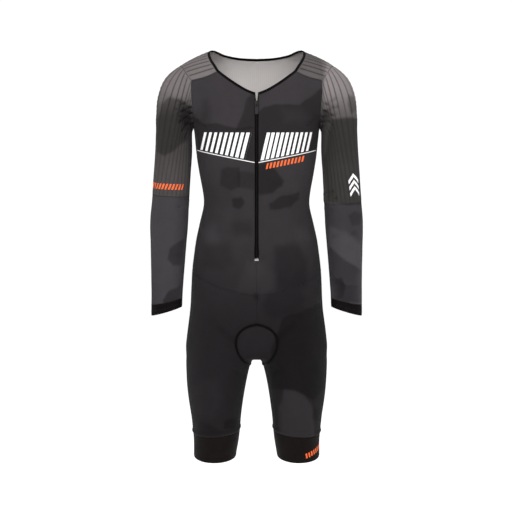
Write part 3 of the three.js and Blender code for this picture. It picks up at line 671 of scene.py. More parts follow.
SLEEVE_PATCHES = {
    "right yoke and cap, light": (0.14, [
        (-92, -62), (-110, 4), (-152, -14), (-200, -48), (-236, -100), (-234, -128), (-206, -112),
        (-158, -118), (-156, -80)]),
    "left yoke": (-0.27, [(90, -66), (104, 4), (134, 0), (156, -30), (156, -82), (126, -78)]),
    "left cap, light": (0.58, [
        (164, -66), (172, -36), (198, -42), (236, -98), (246, -150), (244, -168), (212, -163),
        (186, -168), (172, -150), (158, -140)]),
    "right sleeve": (-0.45, [
        (-227, -134), (-207, -120), (-178, -125), (-159, -144), (-158, -184), (-168, -220),
        (-189, -234), (-220, -258), (-238, -249), (-241, -184)]),
    # Painted shade on the inner side of the right sleeve, by the armpit.
    "faint right sleeve, inner, painted shade": (-0.5, [
        (-182, -137), (-154, -144), (-156, -177), (-170, -191), (-183, -172)]),
    "left sleeve": (-0.4, [
        (185, -172), (211, -165), (244, -170), (250, -245), (255, -376), (214, -374), (174, -366),
        (166, -281), (174, -220)]),
    "left cap": (-0.42, [(221, -115), (232, -120), (237, -144), (226, -155), (219, -136)]),
    # Painted shade on the inner side of the left sleeve, by the armpit.
    "faint left sleeve, inner, painted shade": (-0.5, [(159, -153), (175, -144), (169, -167), (160, -191), (155, -172)]),
    "left forearm, outer": (-0.3, [(224, -403), (239, -396), (255, -400), (254, -426), (231, -422)]),
    "left forearm, light": (0.18, [
        (181, -433), (214, -441), (254, -472), (254, -530), (214, -509), (179, -479)]),
    "left forearm, middle": (-0.35, [
        (179, -482), (214, -511), (254, -535), (254, -568), (221, -571), (197, -557), (181, -540)]),
    "faint left forearm, high": (-0.2, [
        (166, -376), (258, -376), (254, -470), (214, -438), (181, -430), (168, -412)]),
    "left forearm, low": (-0.55, [
        (181, -542), (197, -559), (221, -573), (254, -570), (254, -610), (181, -610)]),
    # Partly the print's dark low forearm, partly painted shade along the arm's inner edge.
    "left forearm, low, inner, print and painted shade": (-0.48, [(181, -562), (204, -552), (214, -576), (209, -597), (181, -608)]),
    "faint left forearm, small light": (0.12, [(216, -564), (231, -566), (233, -583), (214, -587)]),
    "right forearm": (-0.42, [
        (-210, -482), (-195, -473), (-179, -462), (-179, -521), (-200, -521), (-214, -504)]),
    "right forearm, low": (-0.55, [(-226, -604), (-209, -588), (-186, -568), (-186, -614), (-224, -614)]),
}
PATCH_EDGE = {"round": 2.0, "soft": 3.4, "faint": 12.0}
TROUGH_SHADE = 0.2
# Darker down the body: partly the print's own darkening and partly painted shade, as light falls from above.
BODY_FADE_AND_SHADE = table("down tone", [
    [200, 1], [300, 0.9], [400, 0.84], [455, 0.84], [500, 0.74], [550, 0.6], [655, 0.41], [740, 0.39],
    [830, 0.37],
])
HIDDEN_STRENGTH = 0.24


def outside(x, z, corners):
    """Distance from a patch's outline in the front view, under 0 within it."""
    away = np.full(x.shape, np.inf)
    within = np.zeros(x.shape, bool)
    for (ax, az), (bx, bz) in zip(corners, corners[1:] + corners[:1]):
        dx, dz = bx - ax, bz - az
        t = np.clip(((x - ax) * dx + (z - az) * dz) / (dx * dx + dz * dz), 0, 1)
        away = np.minimum(away, np.hypot(x - ax - t * dx, z - az - t * dz))
        if dz:
            within ^= ((az > z) != (bz > z)) & (x < ax + (z - az) * dx / dz)
    return np.where(within, -away, away)


def patches(rows, x, z):
    """The patches' soft-edged shapes, as a factor on the base colour."""
    tone = 1.0
    for name, (strength, corners) in rows.items():
        soft = PATCH_EDGE["faint" if name.startswith("faint") else "soft"]
        away = outside(x, z, corners) - PATCH_EDGE["round"]
        tone = tone * (1 + strength * smooth(soft, -soft, away))
    return tone


def stirred(points):
    """The points' x and z, moved unevenly so that patch edges wander."""
    return [points[..., axis] + 2.2 * wavy(points, 46, shift) for axis, shift in ((0, 1.0), (2, 4.0))]


def print_and_shade_tone(points, rows, x, z, hidden):
    """The photo's patches, a few of them painted shade, and others of the same kind for the sides that it
    doesn't show.
    """
    field = wavy(points, 210, 0.6) + 0.35 * wavy(points, 90, 3.0)
    unseen = 1 + HIDDEN_STRENGTH * (smooth(0.28, 0.34, field) - smooth(-0.2, -0.26, field))
    return mix(patches(rows, x, z), unseen, hidden)


def body_tone(points):
    x, z = stirred(points)
    # Partly the print's darkening, partly painted shade towards the feet.
    fade = np.interp(-z, BODY_FADE_AND_SHADE["down"], BODY_FADE_AND_SHADE["tone"])
    return fade * print_and_shade_tone(points, PATCHES, x, z, smooth(-22, -6, points[..., 1]))


def sleeve_tone(points):
    x, z = stirred(points)
    fade = 1 - 0.62 * smooth(-84, -176, z) + 0.1 * smooth(-230, -300, z)
    return fade * print_and_shade_tone(points, SLEEVE_PATCHES, x, z, smooth(0, 22, points[..., 1]))


def forearm_tone(points):
    turned = points[..., 1] + 60 * smooth(-380, -620, points[..., 2])
    return print_and_shade_tone(points, SLEEVE_PATCHES, *stirred(points), smooth(-20, 12, turned))


def trough_shade(points):
    """Troughs are a little darker than the cloth round them."""
    return 1 + TROUGH_SHADE * np.minimum(creased(points) + 0.3, 0)


def plain_tone(points):
    return 1 + 0.06 * wavy(points, 40)


# Meshes
def add_object(name, data):
    made = bpy.data.objects.new(name, data)
    bpy.context.scene.collection.objects.link(made)
    return made


def object_from(name, points, faces, uvs=None, values=None, slots=None, materials=()):
    """A smooth-shaded mesh object from points in millimetres."""
    mesh = bpy.data.meshes.new(name)
    mesh.from_pydata((np.asarray(points) * MM).tolist(), [], [list(map(int, f)) for f in faces])
    for material in materials:
        mesh.materials.append(material)
    mesh.polygons.foreach_set("use_smooth", np.ones(len(mesh.polygons), bool))
    if slots is not None:
        mesh.polygons.foreach_set("material_index", np.asarray(slots, np.int32))
    if uvs is not None:
        layer = mesh.uv_layers.new(name="cloth")
        layer.data.foreach_set("uv", (np.asarray(uvs, np.float32) * MM).ravel())
    for key, field in (values or {}).items():
        attribute = mesh.attributes.new(key, "FLOAT", "POINT")
        attribute.data.foreach_set("value", np.asarray(field, np.float32).ravel())
    mesh.update()
    return add_object(name, mesh)


def wall_faces(rows, columns, ring):
    """The faces of a closed wall of two grids, with the row and column of each corner for its UVs."""
    steps = columns if ring else columns - 1
    i, j = (a.ravel() for a in np.meshgrid(np.arange(rows - 1), np.arange(steps), indexing="ij"))

    def corner(side, r, c):
        return (side * rows + r) * columns + c % columns

    outer = [(0, i, j), (0, i, j + 1), (0, i + 1, j + 1), (0, i + 1, j)]
    inner = [(1, i, j), (1, i + 1, j), (1, i + 1, j + 1), (1, i, j + 1)]
    c = np.arange(steps)
    z, top = 0 * c, 0 * c + rows - 1
    low = [(1, z, c), (1, z, c + 1), (0, z, c + 1), (0, z, c)]
    high = [(0, top, c), (0, top, c + 1), (1, top, c + 1), (1, top, c)]
    groups = [outer, inner, low, high]
    if not ring:
        r = np.arange(rows - 1)
        z, side = 0 * r, 0 * r + steps
        groups.append([(0, r, z), (0, r + 1, z), (1, r + 1, z), (1, r, z)])
        groups.append([(0, r, side), (1, r, side), (1, r + 1, side), (0, r + 1, side)])
    faces = np.concatenate([np.stack([corner(*k) for k in g], 1) for g in groups])
    at = np.concatenate([np.stack([np.stack([k[1], k[2]], -1) for k in g], 1) for g in groups])
    slots = np.concatenate([np.full(len(g[0][1]), 1 if n == 1 else 0) for n, g in enumerate(groups)])
    return faces, at, slots


def cloth(name, panel, look, tone, raised=None, groove=None):
    """A panel's thin closed shell, which replaces its CAD node."""
    rows, steps = panel.points.shape[:2]
    columns = steps - 1 if panel.ring else steps
    plain = np.zeros((rows, steps))
    raised, groove = ((plain if field is None else field)[:, :columns] for field in (raised, groove))
    points, normals, edge = (field[:, :columns] for field in (panel.points, panel.normals, panel.from_edge))
    folds = creased(points) * smooth(0, 8, edge)
    off = folds - SEAM_DIP["depth"] * np.exp(-(edge / SEAM_DIP["reach"]) ** 2) + raised
    outer = points + normals * off[..., None]
    inner = points + normals * (folds - CLOTH)[..., None]
    faces, at, slots = wall_faces(rows, columns, panel.ring)
    if panel.ring:
        u, v = np.arange(steps) / (steps - 1) * panel.across[0, -1], panel.up
    else:
        u, v = panel.across.mean(0), np.repeat(panel.up.mean(1)[:, None], steps, 1)
    uvs = np.stack([u[at[..., 1]], v[at[..., 0], at[..., 1]]], -1)
    if np.cross(points[1, 1] - points[0, 1], points[0, 2] - points[0, 1]) @ normals[0, 1] > 0:
        faces, uvs = faces[:, ::-1], uvs[:, ::-1]
    shade = tone(points) * trough_shade(points)
    both = {"tone": np.concatenate([shade, shade]), "groove": np.tile(groove, (2, 1))}
    stacked = np.concatenate([outer.reshape(-1, 3), inner.reshape(-1, 3)])
    made = object_from("cloth_" + name, stacked, faces, uvs, both, slots, [look, inside])
    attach(made, "suit")
    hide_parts(name)
    return made


# Node materials
class Number:
    """One number in a material's node tree, with arithmetic."""

    def __init__(self, tree, socket):
        self.tree, self.socket = tree, socket

    def math(self, operation, other=None, clamp=False):
        node = self.tree.nodes.new("ShaderNodeMath")
        node.operation = operation
        node.use_clamp = clamp
        self.tree.links.new(self.socket, node.inputs[0])
        if isinstance(other, Number):
            self.tree.links.new(other.socket, node.inputs[1])
        elif other is not None:
            node.inputs[1].default_value = other
        return Number(self.tree, node.outputs[0])

    def __add__(self, other):
        return self.math("ADD", other)

    def __sub__(self, other):
        return self.math("SUBTRACT", other)

    def __mul__(self, other):
        return self.math("MULTIPLY", other)

    def less(self, limit, soft):
        """1 where this is under a limit and 0 above it, with a soft step."""
        return ((self - limit) * (-1 / soft)).math("ADD", 0.5, clamp=True)

    def more(self, limit, soft):
        return ((self - limit) * (1 / soft)).math("ADD", 0.5, clamp=True)

    def between(self, low, high, soft):
        return self.more(low, soft) * self.less(high, soft)

    def sine(self):
        return self.math("SINE")

    def size(self):
        return self.math("ABSOLUTE")

    def part(self):
        return self.math("FRACT")


class Look:
    """A material made of nodes around one principled shader."""

    def __init__(self, name, **sockets):
        self.material = bpy.data.materials.new(name)
        self.material.use_nodes = True
        self.tree = self.material.node_tree
        self.shader = self.tree.nodes["Principled BSDF"]
        for key, value in sockets.items():
            self.shader.inputs[key.replace("_", " ")].default_value = value

    def node(self, kind, **settings):
        made = self.tree.nodes.new(kind)
        for key, value in settings.items():
            setattr(made, key, value)
        return made

    def attribute(self, name):
        return Number(self.tree, self.node("ShaderNodeAttribute", attribute_name=name).outputs["Fac"])

    def split(self, socket, scale):
        scaled = self.node("ShaderNodeVectorMath", operation="SCALE")
        self.tree.links.new(socket, scaled.inputs[0])
        scaled.inputs["Scale"].default_value = scale
        parts = self.node("ShaderNodeSeparateXYZ")
        self.tree.links.new(scaled.outputs[0], parts.inputs[0])
        return [Number(self.tree, output) for output in parts.outputs]

    def cloth_place(self):
        """Distances across and along the cloth in millimetres."""
        u, v, _ = self.split(self.node("ShaderNodeUVMap", uv_map="cloth").outputs[0], 1000)
        return u, v

    def place(self):
        """The place in the object's own space in millimetres."""
        return self.split(self.node("ShaderNodeTexCoord").outputs["Object"], 1000)

    def noise(self, scale, detail=3.0, roughness=0.55):
        made = self.node("ShaderNodeTexNoise")
        made.inputs["Scale"].default_value = scale
        made.inputs["Detail"].default_value = detail
        made.inputs["Roughness"].default_value = roughness
        self.tree.links.new(self.node("ShaderNodeTexCoord").outputs["Object"], made.inputs["Vector"])
        return Number(self.tree, made.outputs["Fac"])

    def mix(self, factor, low, high):
        """A colour between two, which are colours or sockets."""
        made = self.node("ShaderNodeMix", data_type="RGBA")
        self.tree.links.new(factor.socket, made.inputs[0])
        for socket, colour in ((made.inputs[6], low), (made.inputs[7], high)):
            if isinstance(colour, tuple):
                socket.default_value = (*colour, 1)
            else:
                self.tree.links.new(colour, socket)
        return made.outputs[2]

    def times(self, colour, factor):
        """A colour made lighter or darker by a number."""
        made = self.node("ShaderNodeVectorMath", operation="SCALE")
        if isinstance(colour, tuple):
            made.inputs[0].default_value = colour
        else:
            self.tree.links.new(colour, made.inputs[0])
        self.tree.links.new(factor.socket, made.inputs["Scale"])
        return made.outputs[0]

    def paint(self, colour):
        self.tree.links.new(colour, self.shader.inputs["Base Color"])

    def rough(self, number):
        self.tree.links.new(number.socket, self.shader.inputs["Roughness"])

    def bump(self, height, distance):
        made = self.node("ShaderNodeBump")
        made.inputs["Distance"].default_value = distance
        self.tree.links.new(height.socket, made.inputs["Height"])
        self.tree.links.new(made.outputs[0], self.shader.inputs["Normal"])


TURN = 2 * math.pi


def knit(u, v, wale, course):
    """The height of a plain knit: columns of leaning stitches."""
    column = (u * (1 / wale)).part() - 0.5
    lean = v * (1 / course) + column.size() * 0.9
    return (lean * TURN).sine() * 0.5 + (u * (TURN / wale)).sine() * 0.5


# Colours in linear light
CLOTH_COLOUR = (0.0311, 0.0278, 0.0303)
RIB_COLOUR = (0.110, 0.098, 0.098)
FOREARM_COLOUR = (0.0395, 0.0365, 0.0405)
BAND_COLOUR = (0.0066, 0.0048, 0.0046)
CUFF_COLOUR = (0.0040, 0.0032, 0.0032)
INSIDE_COLOUR = (0.56, 0.53, 0.52)
WHITE_PRINT = (0.80, 0.79, 0.79)
ORANGE_PRINT = (0.74, 0.13, 0.035)
BLACK_TRIM = (0.0024, 0.0020, 0.0021)
CLOTH_SOCKETS = {"Roughness": 0.78, "Specular_IOR_Level": 0.03, "Sheen_Weight": 0.02, "Sheen_Roughness": 0.25}

# The prints that stand in the photo's lettered places, in millimetres: plain slanted bars and chevrons.
# Each row of bars has its pitch, the share of it that shows, its lean, and how far it runs.
LINE = {"at": -272, "rise": 0.19, "half": 0.9, "reach": 143}
CHEST_BARS = {
    "pitch": 12, "share": 0.70, "thinner": -0.0016, "lean": 0.24, "gap": 4, "top": -201, "shift": 4,
    "left": (-132.5, -24), "right": (11.5, 130),
}
CHEST_DASHES = {"pitch": 8.5, "share": 0.55, "low": -19, "high": -6, "across": (26, 116)}
SLEEVE_DASHES = {"pitch": 8.5, "share": 0.55, "lean": 0.24, "up": (17, 31), "across": (44, 160)}
CHEVRONS = {"pitch": 15.5, "share": 0.56, "rise": 1.15, "middle": 105, "half": 15, "up": (34, 78)}
BAND_DASHES = {"pitch": 8, "share": 0.56, "lean": 0.24, "slope": 0.2, "up": (-12, 1), "across": (112, 196)}
PRINT_EDGE = 0.5

# Wale, course and bump depth of each knit
BODY_KNIT = (1.1, 0.9, 0.00022)
FOREARM_KNIT = (0.9, 0.8, 0.0002)
RIB_KNIT = (1.0, 1.0, 0.00018)


def cloth_look(name, colour, wale, course, depth, roughness=0.72):
    """Fine knitted cloth with its tones from the mesh."""
    look = Look(name, **CLOTH_SOCKETS)
    look.u, look.v = look.cloth_place()
    grain = look.noise(420, 2) * 0.24 + 0.88
    mottle = look.noise(38, 3) * 0.16 + 0.92
    look.colour = look.times(colour, look.attribute("tone") * grain * mottle)
    height = knit(look.u, look.v, wale, course) + look.noise(900, 2) * 0.6
    look.bump(height, depth)
    look.rough(look.noise(60, 2) * 0.14 + (roughness - 0.07))
    look.paint(look.colour)
    return look


def bars(position, pitch, share):
    """1 on evenly spaced bars that take a share of each pitch."""
    return ((position * (1 / pitch)).part() * pitch).between(0, share * pitch, PRINT_EDGE)


def front_look():
    look = cloth_look("printed_front", CLOTH_COLOUR, *BODY_KNIT)
    x, y, z = look.place()
    above = z - (x.size() * LINE["rise"] + LINE["at"])
    slanted = x - above * CHEST_BARS["lean"]
    share = slanted.size() * CHEST_BARS["thinner"] + CHEST_BARS["share"]
    rows = above.more(CHEST_BARS["gap"], PRINT_EDGE) * z.less(CHEST_BARS["top"], PRINT_EDGE)
    shifted = slanted + CHEST_BARS["shift"]
    left = shifted.between(*CHEST_BARS["left"], PRINT_EDGE)
    right = shifted.between(*CHEST_BARS["right"], PRINT_EDGE)
    white = bars(shifted, CHEST_BARS["pitch"], share) * rows * (left + right)
    stripe = above.size().less(LINE["half"], PRINT_EDGE) * x.size().less(LINE["reach"], 1)
    dashes = bars(slanted, CHEST_DASHES["pitch"], CHEST_DASHES["share"])
    dashes = dashes * above.between(CHEST_DASHES["low"], CHEST_DASHES["high"], PRINT_EDGE)
    orange = dashes * slanted.between(*CHEST_DASHES["across"], PRINT_EDGE)
    with_white = look.mix(white.math("MAXIMUM", stripe), look.colour, WHITE_PRINT)
    look.paint(look.mix(orange, with_white, ORANGE_PRINT))
    return look.material


def rib_look(name, print_of=None):
    """Ribbed cloth: lighter lands with narrow dark grooves."""
    look = cloth_look(name, RIB_COLOUR, *RIB_KNIT, 0.76)
    look.colour = look.times(look.colour, look.attribute("groove") * -0.7 + 1)
    if print_of:
        look.colour = print_of(look)
    look.paint(look.colour)
    return look.material


def dashes_on(look, u, v, colour, row):
    """Orange slanted bars over the cloth's colour."""
    slanted = u + v * row["lean"]
    band = v.between(*row["up"], PRINT_EDGE) * slanted.between(*row["across"], PRINT_EDGE)
    return look.mix(bars(slanted, row["pitch"], row["share"]) * band, colour, ORANGE_PRINT)


def sleeve_dashes(look):
    """Orange bars round the outer side of the wearer's right sleeve."""
    return dashes_on(look, look.u, look.v, look.colour, SLEEVE_DASHES)


def sleeve_chevrons(look):
    """White chevrons on the outer front of the wearer's left sleeve."""
    across = (look.u - CHEVRONS["middle"]).size()
    rise = look.v + across * CHEVRONS["rise"]
    band = rise.between(*CHEVRONS["up"], PRINT_EDGE) * across.less(CHEVRONS["half"], PRINT_EDGE)
    shown = bars(rise - CHEVRONS["up"][0], CHEVRONS["pitch"], CHEVRONS["share"]) * band
    return look.mix(shown, look.colour, WHITE_PRINT)


def band_look(name, base, dashes=False):
    """Firm near-black band with fine elastic ribs round it."""
    look = Look(name, Roughness=0.6, Specular_IOR_Level=0.025, Sheen_Weight=0.01, Sheen_Roughness=0.25)
    u, v = look.cloth_place()
    ribs = (v * (TURN / 2.1)).sine()
    look.bump(ribs + (u * (TURN / 1.3)).sine() * 0.4 + look.noise(700, 2) * 0.5, 0.0002)
    colour = look.times(base, (ribs * 0.1 + 1) * (look.noise(90, 3) * 0.5 + 0.75))
    if dashes:
        colour = dashes_on(look, u, v - u * BAND_DASHES["slope"], colour, BAND_DASHES)
    look.paint(colour)
    look.rough(look.noise(50, 2) * 0.12 + 0.52)
    return look.material


def inside_look():
    """The pale knitted inside of all the cloth."""
    look = Look("inside_knit", Roughness=0.82, Specular_IOR_Level=0.2, Sheen_Weight=0.12, Sheen_Roughness=0.5)
    u, v = look.cloth_place()
    look.bump(knit(u, v, 1.3, 1.1), 0.0003)
    tone = look.noise(30, 3) * 0.12 + 0.94 + (u * (TURN / 5.2)).sine() * 0.025
    look.paint(look.times(INSIDE_COLOUR, tone))
    look.rough(look.noise(80, 2) * 0.1 + 0.77)
    return look.material


def trim_look(name, along, roughness=0.6):
    """Narrow black woven trim, with its weave along the object's own height."""
    look = Look(name, Roughness=roughness, Specular_IOR_Level=0.04)
    x, y, z = look.place()
    weave = ((x + z) * (TURN / along)).sine() * ((x - z + y * 0.7) * (TURN / along)).sine()
    look.bump(weave + look.noise(900, 2) * 0.4, 0.00015)
    look.paint(look.times(BLACK_TRIM, weave * 0.18 + look.noise(120, 2) * 0.4 + 0.8))
    look.rough(look.noise(70, 2) * 0.15 + (roughness - 0.07))
    return look.material


def thread_look(name, colour):
    look = Look(name, Roughness=0.55, Specular_IOR_Level=0.1)
    look.paint(look.times(colour, look.noise(1500, 1) * 0.8 + 0.6))
    look.bump(look.noise(2500, 1), 0.0001)
    return look.material


def metal_look(name, colour, roughness, metallic):
    """Lacquered or bright metal with a few fine rubs."""
    look = Look(name, Roughness=roughness, Metallic=metallic, Specular_IOR_Level=0.12)
    rubs = look.noise(700, 4, 0.7)
    look.paint(look.times(colour, rubs.more(0.58, 0.1) * 0.9 + 0.9))
    look.rough(look.noise(260, 3) * 0.2 + (roughness - 0.1))
    look.bump(rubs, 0.00003)
    return look.material


inside = inside_look()
printed = cloth_look("printed_cloth", CLOTH_COLOUR, *BODY_KNIT).material
front_print = front_look()
forearm_cloth = cloth_look("forearm_cloth", FOREARM_COLOUR, *FOREARM_KNIT).material
yoke_rib = rib_look("yoke_rib")
sleeve_rib = {
    "left": rib_look("sleeve_rib_left", sleeve_chevrons),
    "right": rib_look("sleeve_rib_right", sleeve_dashes),
}
band_plain = band_look("band_plain", BAND_COLOUR)
band_dashed = band_look("band_dashed", BAND_COLOUR, dashes=True)
cuff_cloth = band_look("cuff_cloth", CUFF_COLOUR)
binding_look = trim_look("binding_elastic", 1.1)
tape_look = trim_look("zip_tape_weave", 0.8)
piping_look = trim_look("insert_piping", 0.9)
coil_look = metal_look("zip_coil_nylon", (0.0035, 0.0030, 0.0032), 0.5, 0.0)
slider_look = metal_look("zip_dark_metal", (0.010, 0.009, 0.010), 0.4, 0.3)
stop_look = metal_look("zip_bright_metal", (0.42, 0.41, 0.42), 0.36, 0.9)
dark_thread = thread_look("dark_thread", (0.016, 0.015, 0.016))
grey_thread = thread_look("grey_thread", (0.020, 0.018, 0.019))
band_thread = thread_look("band_thread", (0.13, 0.105, 0.105))


# The cloth pieces, each in place of its CAD node
SIDES = {"left": 1, "right": -1}
HEM_ROLL = {"height": 2.3, "at": 6, "half": 4.5}


def rib_fields(panel, axis):
    """The ribs' height and the grooves between them, which lie on every second line of the CAD grid."""
    at, runs, shape = ((panel.rows_at, panel.up, (-1, 1)), (panel.columns_at, panel.across, (1, -1)))[axis]
    step = np.gradient(runs, axis=axis) / np.gradient(at).reshape(shape)
    away = np.abs((at + 1) % 2 - 1).reshape(shape) * step
    groove = np.exp(-(away / RIB["groove"]) ** 2)
    fade = smooth(0, RIB["fade"], (panel.from_columns, panel.from_rows)[axis])
    shown = (0.35 + 0.65 * fade) * (1 - 0.62 * smooth(-105, -185, panel.points[..., 2]))
    return (RIB["height"] * (1 - groove) - RIB["dip"] * groove) * fade, groove * shown


pieces = {}


def add_cloth(name, grid, factors, look, tone, ring=False, rib_axis=None, rolled=False):
    """One panel's cloth. A rolled one has the low roll that a turned edge makes above the band."""
    panel = Panel(grid, factors, ring)
    raised = groove = None
    if rib_axis is not None:
        raised, groove = rib_fields(panel, rib_axis)
    if rolled:
        raised = HEM_ROLL["height"] * np.exp(-((panel.up - HEM_ROLL["at"]) / HEM_ROLL["half"]) ** 2)
    pieces[name] = (panel, cloth(name, panel, look, tone, raised, groove))


for side, sign in SIDES.items():
    arm = sleeves[side]
    band = band_dashed if side == "left" else band_plain
    for kind, grid, factors, look, tone, more in (
        ("front", grids["front"], (8, 8), front_print, body_tone, {}),
        ("leg", grids["leg"], (7, 7), printed, body_tone, {"rolled": True}),
        ("yoke", grids["yoke"], (6, 8), yoke_rib, sleeve_tone, {"rib_axis": 0}),
        (
            "sleeve_upper", arm["sleeve_upper"], (13, 5), sleeve_rib[side], sleeve_tone,
            {"ring": True, "rib_axis": 1},
        ),
        ("sleeve_lower", arm["sleeve_lower"], (12, 5), forearm_cloth, forearm_tone, {"ring": True}),
        ("cuff", arm["cuff"], (9, 5), cuff_cloth, plain_tone, {"ring": True}),
        ("leg_band", grids["leg_band"], (14, 8), band, plain_tone, {"ring": True}),
    ):
        add_cloth(f"{kind}_{side}", grid * [sign, 1, 1], factors, look, tone, **more)
add_cloth("back", grids["back"], (8, 8), printed, body_tone)
add_cloth("crotch_insert", grids["insert"], (7, 7), printed, body_tone)

# Each panel's surface area, summed over its grid's triangles and not used further
for name, (panel, piece) in pieces.items():
    kind, _, side = name.rpartition("_")
    side in SIDES
    a, c = panel.points[:-1, :-1], panel.points[1:, 1:]
    corners = (panel.points[:-1, 1:], panel.points[1:, :-1])
    area = sum(0.5 * np.linalg.norm(np.cross(b - a, c - a), axis=-1) for b in corners)


# Trims that run along a line on the surface
class Line:
    """Stations along a line on the surface, each with its outward, forward and sideways directions."""

    def __init__(self, run, pitch, ring=False):
        run = np.asarray(run, float)
        long = run_lengths(run[:, None], 0)[-1, 0]
        self.points = settle(evenly(run, max(int(round(long / pitch)), 2)), 2)
        if ring:
            self.points[-1] = self.points[0]
        ahead = np.roll(self.points, -1, 0)
        behind = np.roll(self.points, 1, 0)
        ahead[-1], behind[0] = self.points[[1, -2] if ring else [-1, 0]]
        self.forward = unit(ahead - behind)
        self.out = outward(self.points)
        self.side = unit(np.cross(self.out, self.forward))
        self.ring = ring

    def at(self, sideways, up):
        return self.points + self.side * np.reshape(sideways, (-1, 1)) + self.out * np.reshape(up, (-1, 1))


def tube_faces(count, around, ring=False):
    """The faces of a tube through rings of points, which is a loop or has two ends."""
    faces = [
        (i * around + j, i * around + (j + 1) % around,
         (i + 1) % count * around + (j + 1) % around, (i + 1) % count * around + j)
        for i in range(count if ring else count - 1)
        for j in range(around)
    ]
    if not ring:
        faces += [tuple(range(around))[::-1], tuple((count - 1) * around + j for j in range(around))]
    return faces


def tube_along(name, line, section, material, node=None, turned=False):
    """A closed tube whose section, a ring of (sideways, up) stations, runs along a line."""
    rings = np.stack([line.at(a, b) for a, b in section], 1)
    if line.ring:
        rings = rings[:-1]
    faces = tube_faces(*rings.shape[:2], line.ring)
    if turned:
        faces = [face[::-1] for face in faces]
    made = object_from(name, rings.reshape(-1, 3), faces, materials=[material])
    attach(made, "suit")
    if node:
        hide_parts(node)


def rounded_section(left, right, low, high, power=3.2, count=16):
    """Points round a soft-cornered section."""
    turn = np.arange(count) / count * 2 * np.pi
    a, b = (np.sign(c) * np.abs(c) ** (2 / power) for c in (np.cos(turn), np.sin(turn)))
    return list(zip((left + right) / 2 + (right - left) / 2 * a, (low + high) / 2 + (high - low) / 2 * b))


def threads(name, rows, material):
    """Stitches as small rounded bars. Each row is (line, sideways, up, length, width, lean, skip)."""
    points, faces = [], []
    for line, sideways, up, length, width, lean, skip in rows:
        picked = slice(skip, len(line.points) - skip)
        middle = line.at(sideways, up)[picked]
        forward, side, out = line.forward[picked], line.side[picked], line.out[picked]
        swing = np.where(np.arange(len(middle)) % 2, lean, -lean)[:, None]
        along = forward * np.cos(swing) + side * np.sin(swing)
        beside = side * np.cos(swing) - forward * np.sin(swing)
        half, arc = length / 2, width / 2
        bar = [middle - along * half - out * arc * 0.7]
        for place in (-0.55, 0.55):
            for a, b in ((1, 0), (0, 1), (-1, 0), (0, -0.6)):
                bar.append(middle + along * half * place + beside * arc * a + out * arc * b)
        bar.append(middle + along * half - out * arc * 0.7)
        start = sum(len(p) for p in points)
        points.append(np.stack(bar, 1).reshape(-1, 3))
        for k in range(len(middle)):
            o = start + 10 * k
            for j in range(4):
                n = (j + 1) % 4
                faces.append((o, o + 1 + n, o + 1 + j))
                faces.append((o + 1 + j, o + 1 + n, o + 5 + n, o + 5 + j))
                faces.append((o + 9, o + 5 + j, o + 5 + n))
    made = object_from(name, np.concatenate(points), faces, materials=[material])
    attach(made, "suit")


BINDING = {"left": -1.0, "right": 5.3, "low": -2.3, "high": 0.85}
PIPING = {"left": -3.0, "right": 3.0, "low": -0.5, "high": 1.6, "power": 2.4}
neck_round = across_back(join(neck_front, neck_side, neck_back))
tube_along("trim_neck_binding", Line(neck_round, 2.6), rounded_section(**BINDING), binding_look, "neck_binding")
insert_line = Line(join(insert_side, mirrored(insert_side)[::-1]), 3, ring=True)
tube_along("trim_insert_seam", insert_line, rounded_section(**PIPING), piping_look, "insert_seam")

# The zip: tapes under the front edges, a coil of nylon teeth, and the metal pieces with softened edges
TAPE = {"inner": 1.2, "inner_at_neck": 2.9, "outer": 9.5, "top": -1.75, "under": -2.6}
tape_edge = np.vstack([zip_edge, zip_edge[-1] + 0.5 * (zip_edge[-1] - zip_edge[-2])])
for side, sign in SIDES.items():
    edge_line = Line(tape_edge * [sign, 1, 1], 3)
    opened = np.clip((edge_line.points[:, 2] - ZIP_TOP) / (NECK_MIDDLE[2] - ZIP_TOP), 0, 1)
    inner = (ZIP_HALF - mix(TAPE["inner"], TAPE["inner_at_neck"], opened)) * sign
    outer = (ZIP_HALF - TAPE["outer"]) * sign
    stations = [(mix(inner, outer, share), TAPE["top"]) for share in np.linspace(0, 1, 5)]
    stations += [(mix(inner, outer, share), TAPE["under"]) for share in np.linspace(1, 0, 5)]
    tube_along("trim_zip_tape_" + side, edge_line, stations, tape_look, "zip_tape_" + side, sign > 0)

COIL = {"pitch": 1.3, "half": 2.3, "radius": 0.55, "level": -1.0}
CORE = {"left": -1.2, "right": 1.2, "low": -2.4, "high": -1.2, "power": 2.4, "count": 10}
TOOTH = table("reach size", [[-0.9, 0.55], [-0.5, 1.0], [0.6, 1.1], [1.7, 1.1], [COIL["half"], 0.5]])
coil_run = settle(np.array([[0.0, -98, z] for z in np.linspace(ZIP_END + 6, ZIP_TOP - 8, 40)]))
coil_line = Line(coil_run, COIL["pitch"])
teeth, tooth_faces = [], []
for k, (p, out, forward, across) in enumerate(
    zip(coil_line.points, coil_line.out, coil_line.forward, coil_line.side)
):
    sign = 1 if k % 2 else -1
    centre = p + out * COIL["level"]
    tooth_faces += [[len(teeth) + v for v in face][::sign] for face in tube_faces(5, 4)]
    for reach, size in zip(TOOTH["reach"], TOOTH["size"]):
        for a, b in ((1, 0), (0, 1), (-1, 0), (0, -1)):
            spot = centre + across * reach * sign + forward * COIL["radius"] * size * a
            teeth.append(spot + out * COIL["radius"] * size * 1.3 * b)
coil = object_from("zip_coil", teeth, tooth_faces, materials=[coil_look])
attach(coil, "suit")
tube_along("zip_cord", coil_line, rounded_section(**CORE), tape_look)
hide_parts("zip_chain")

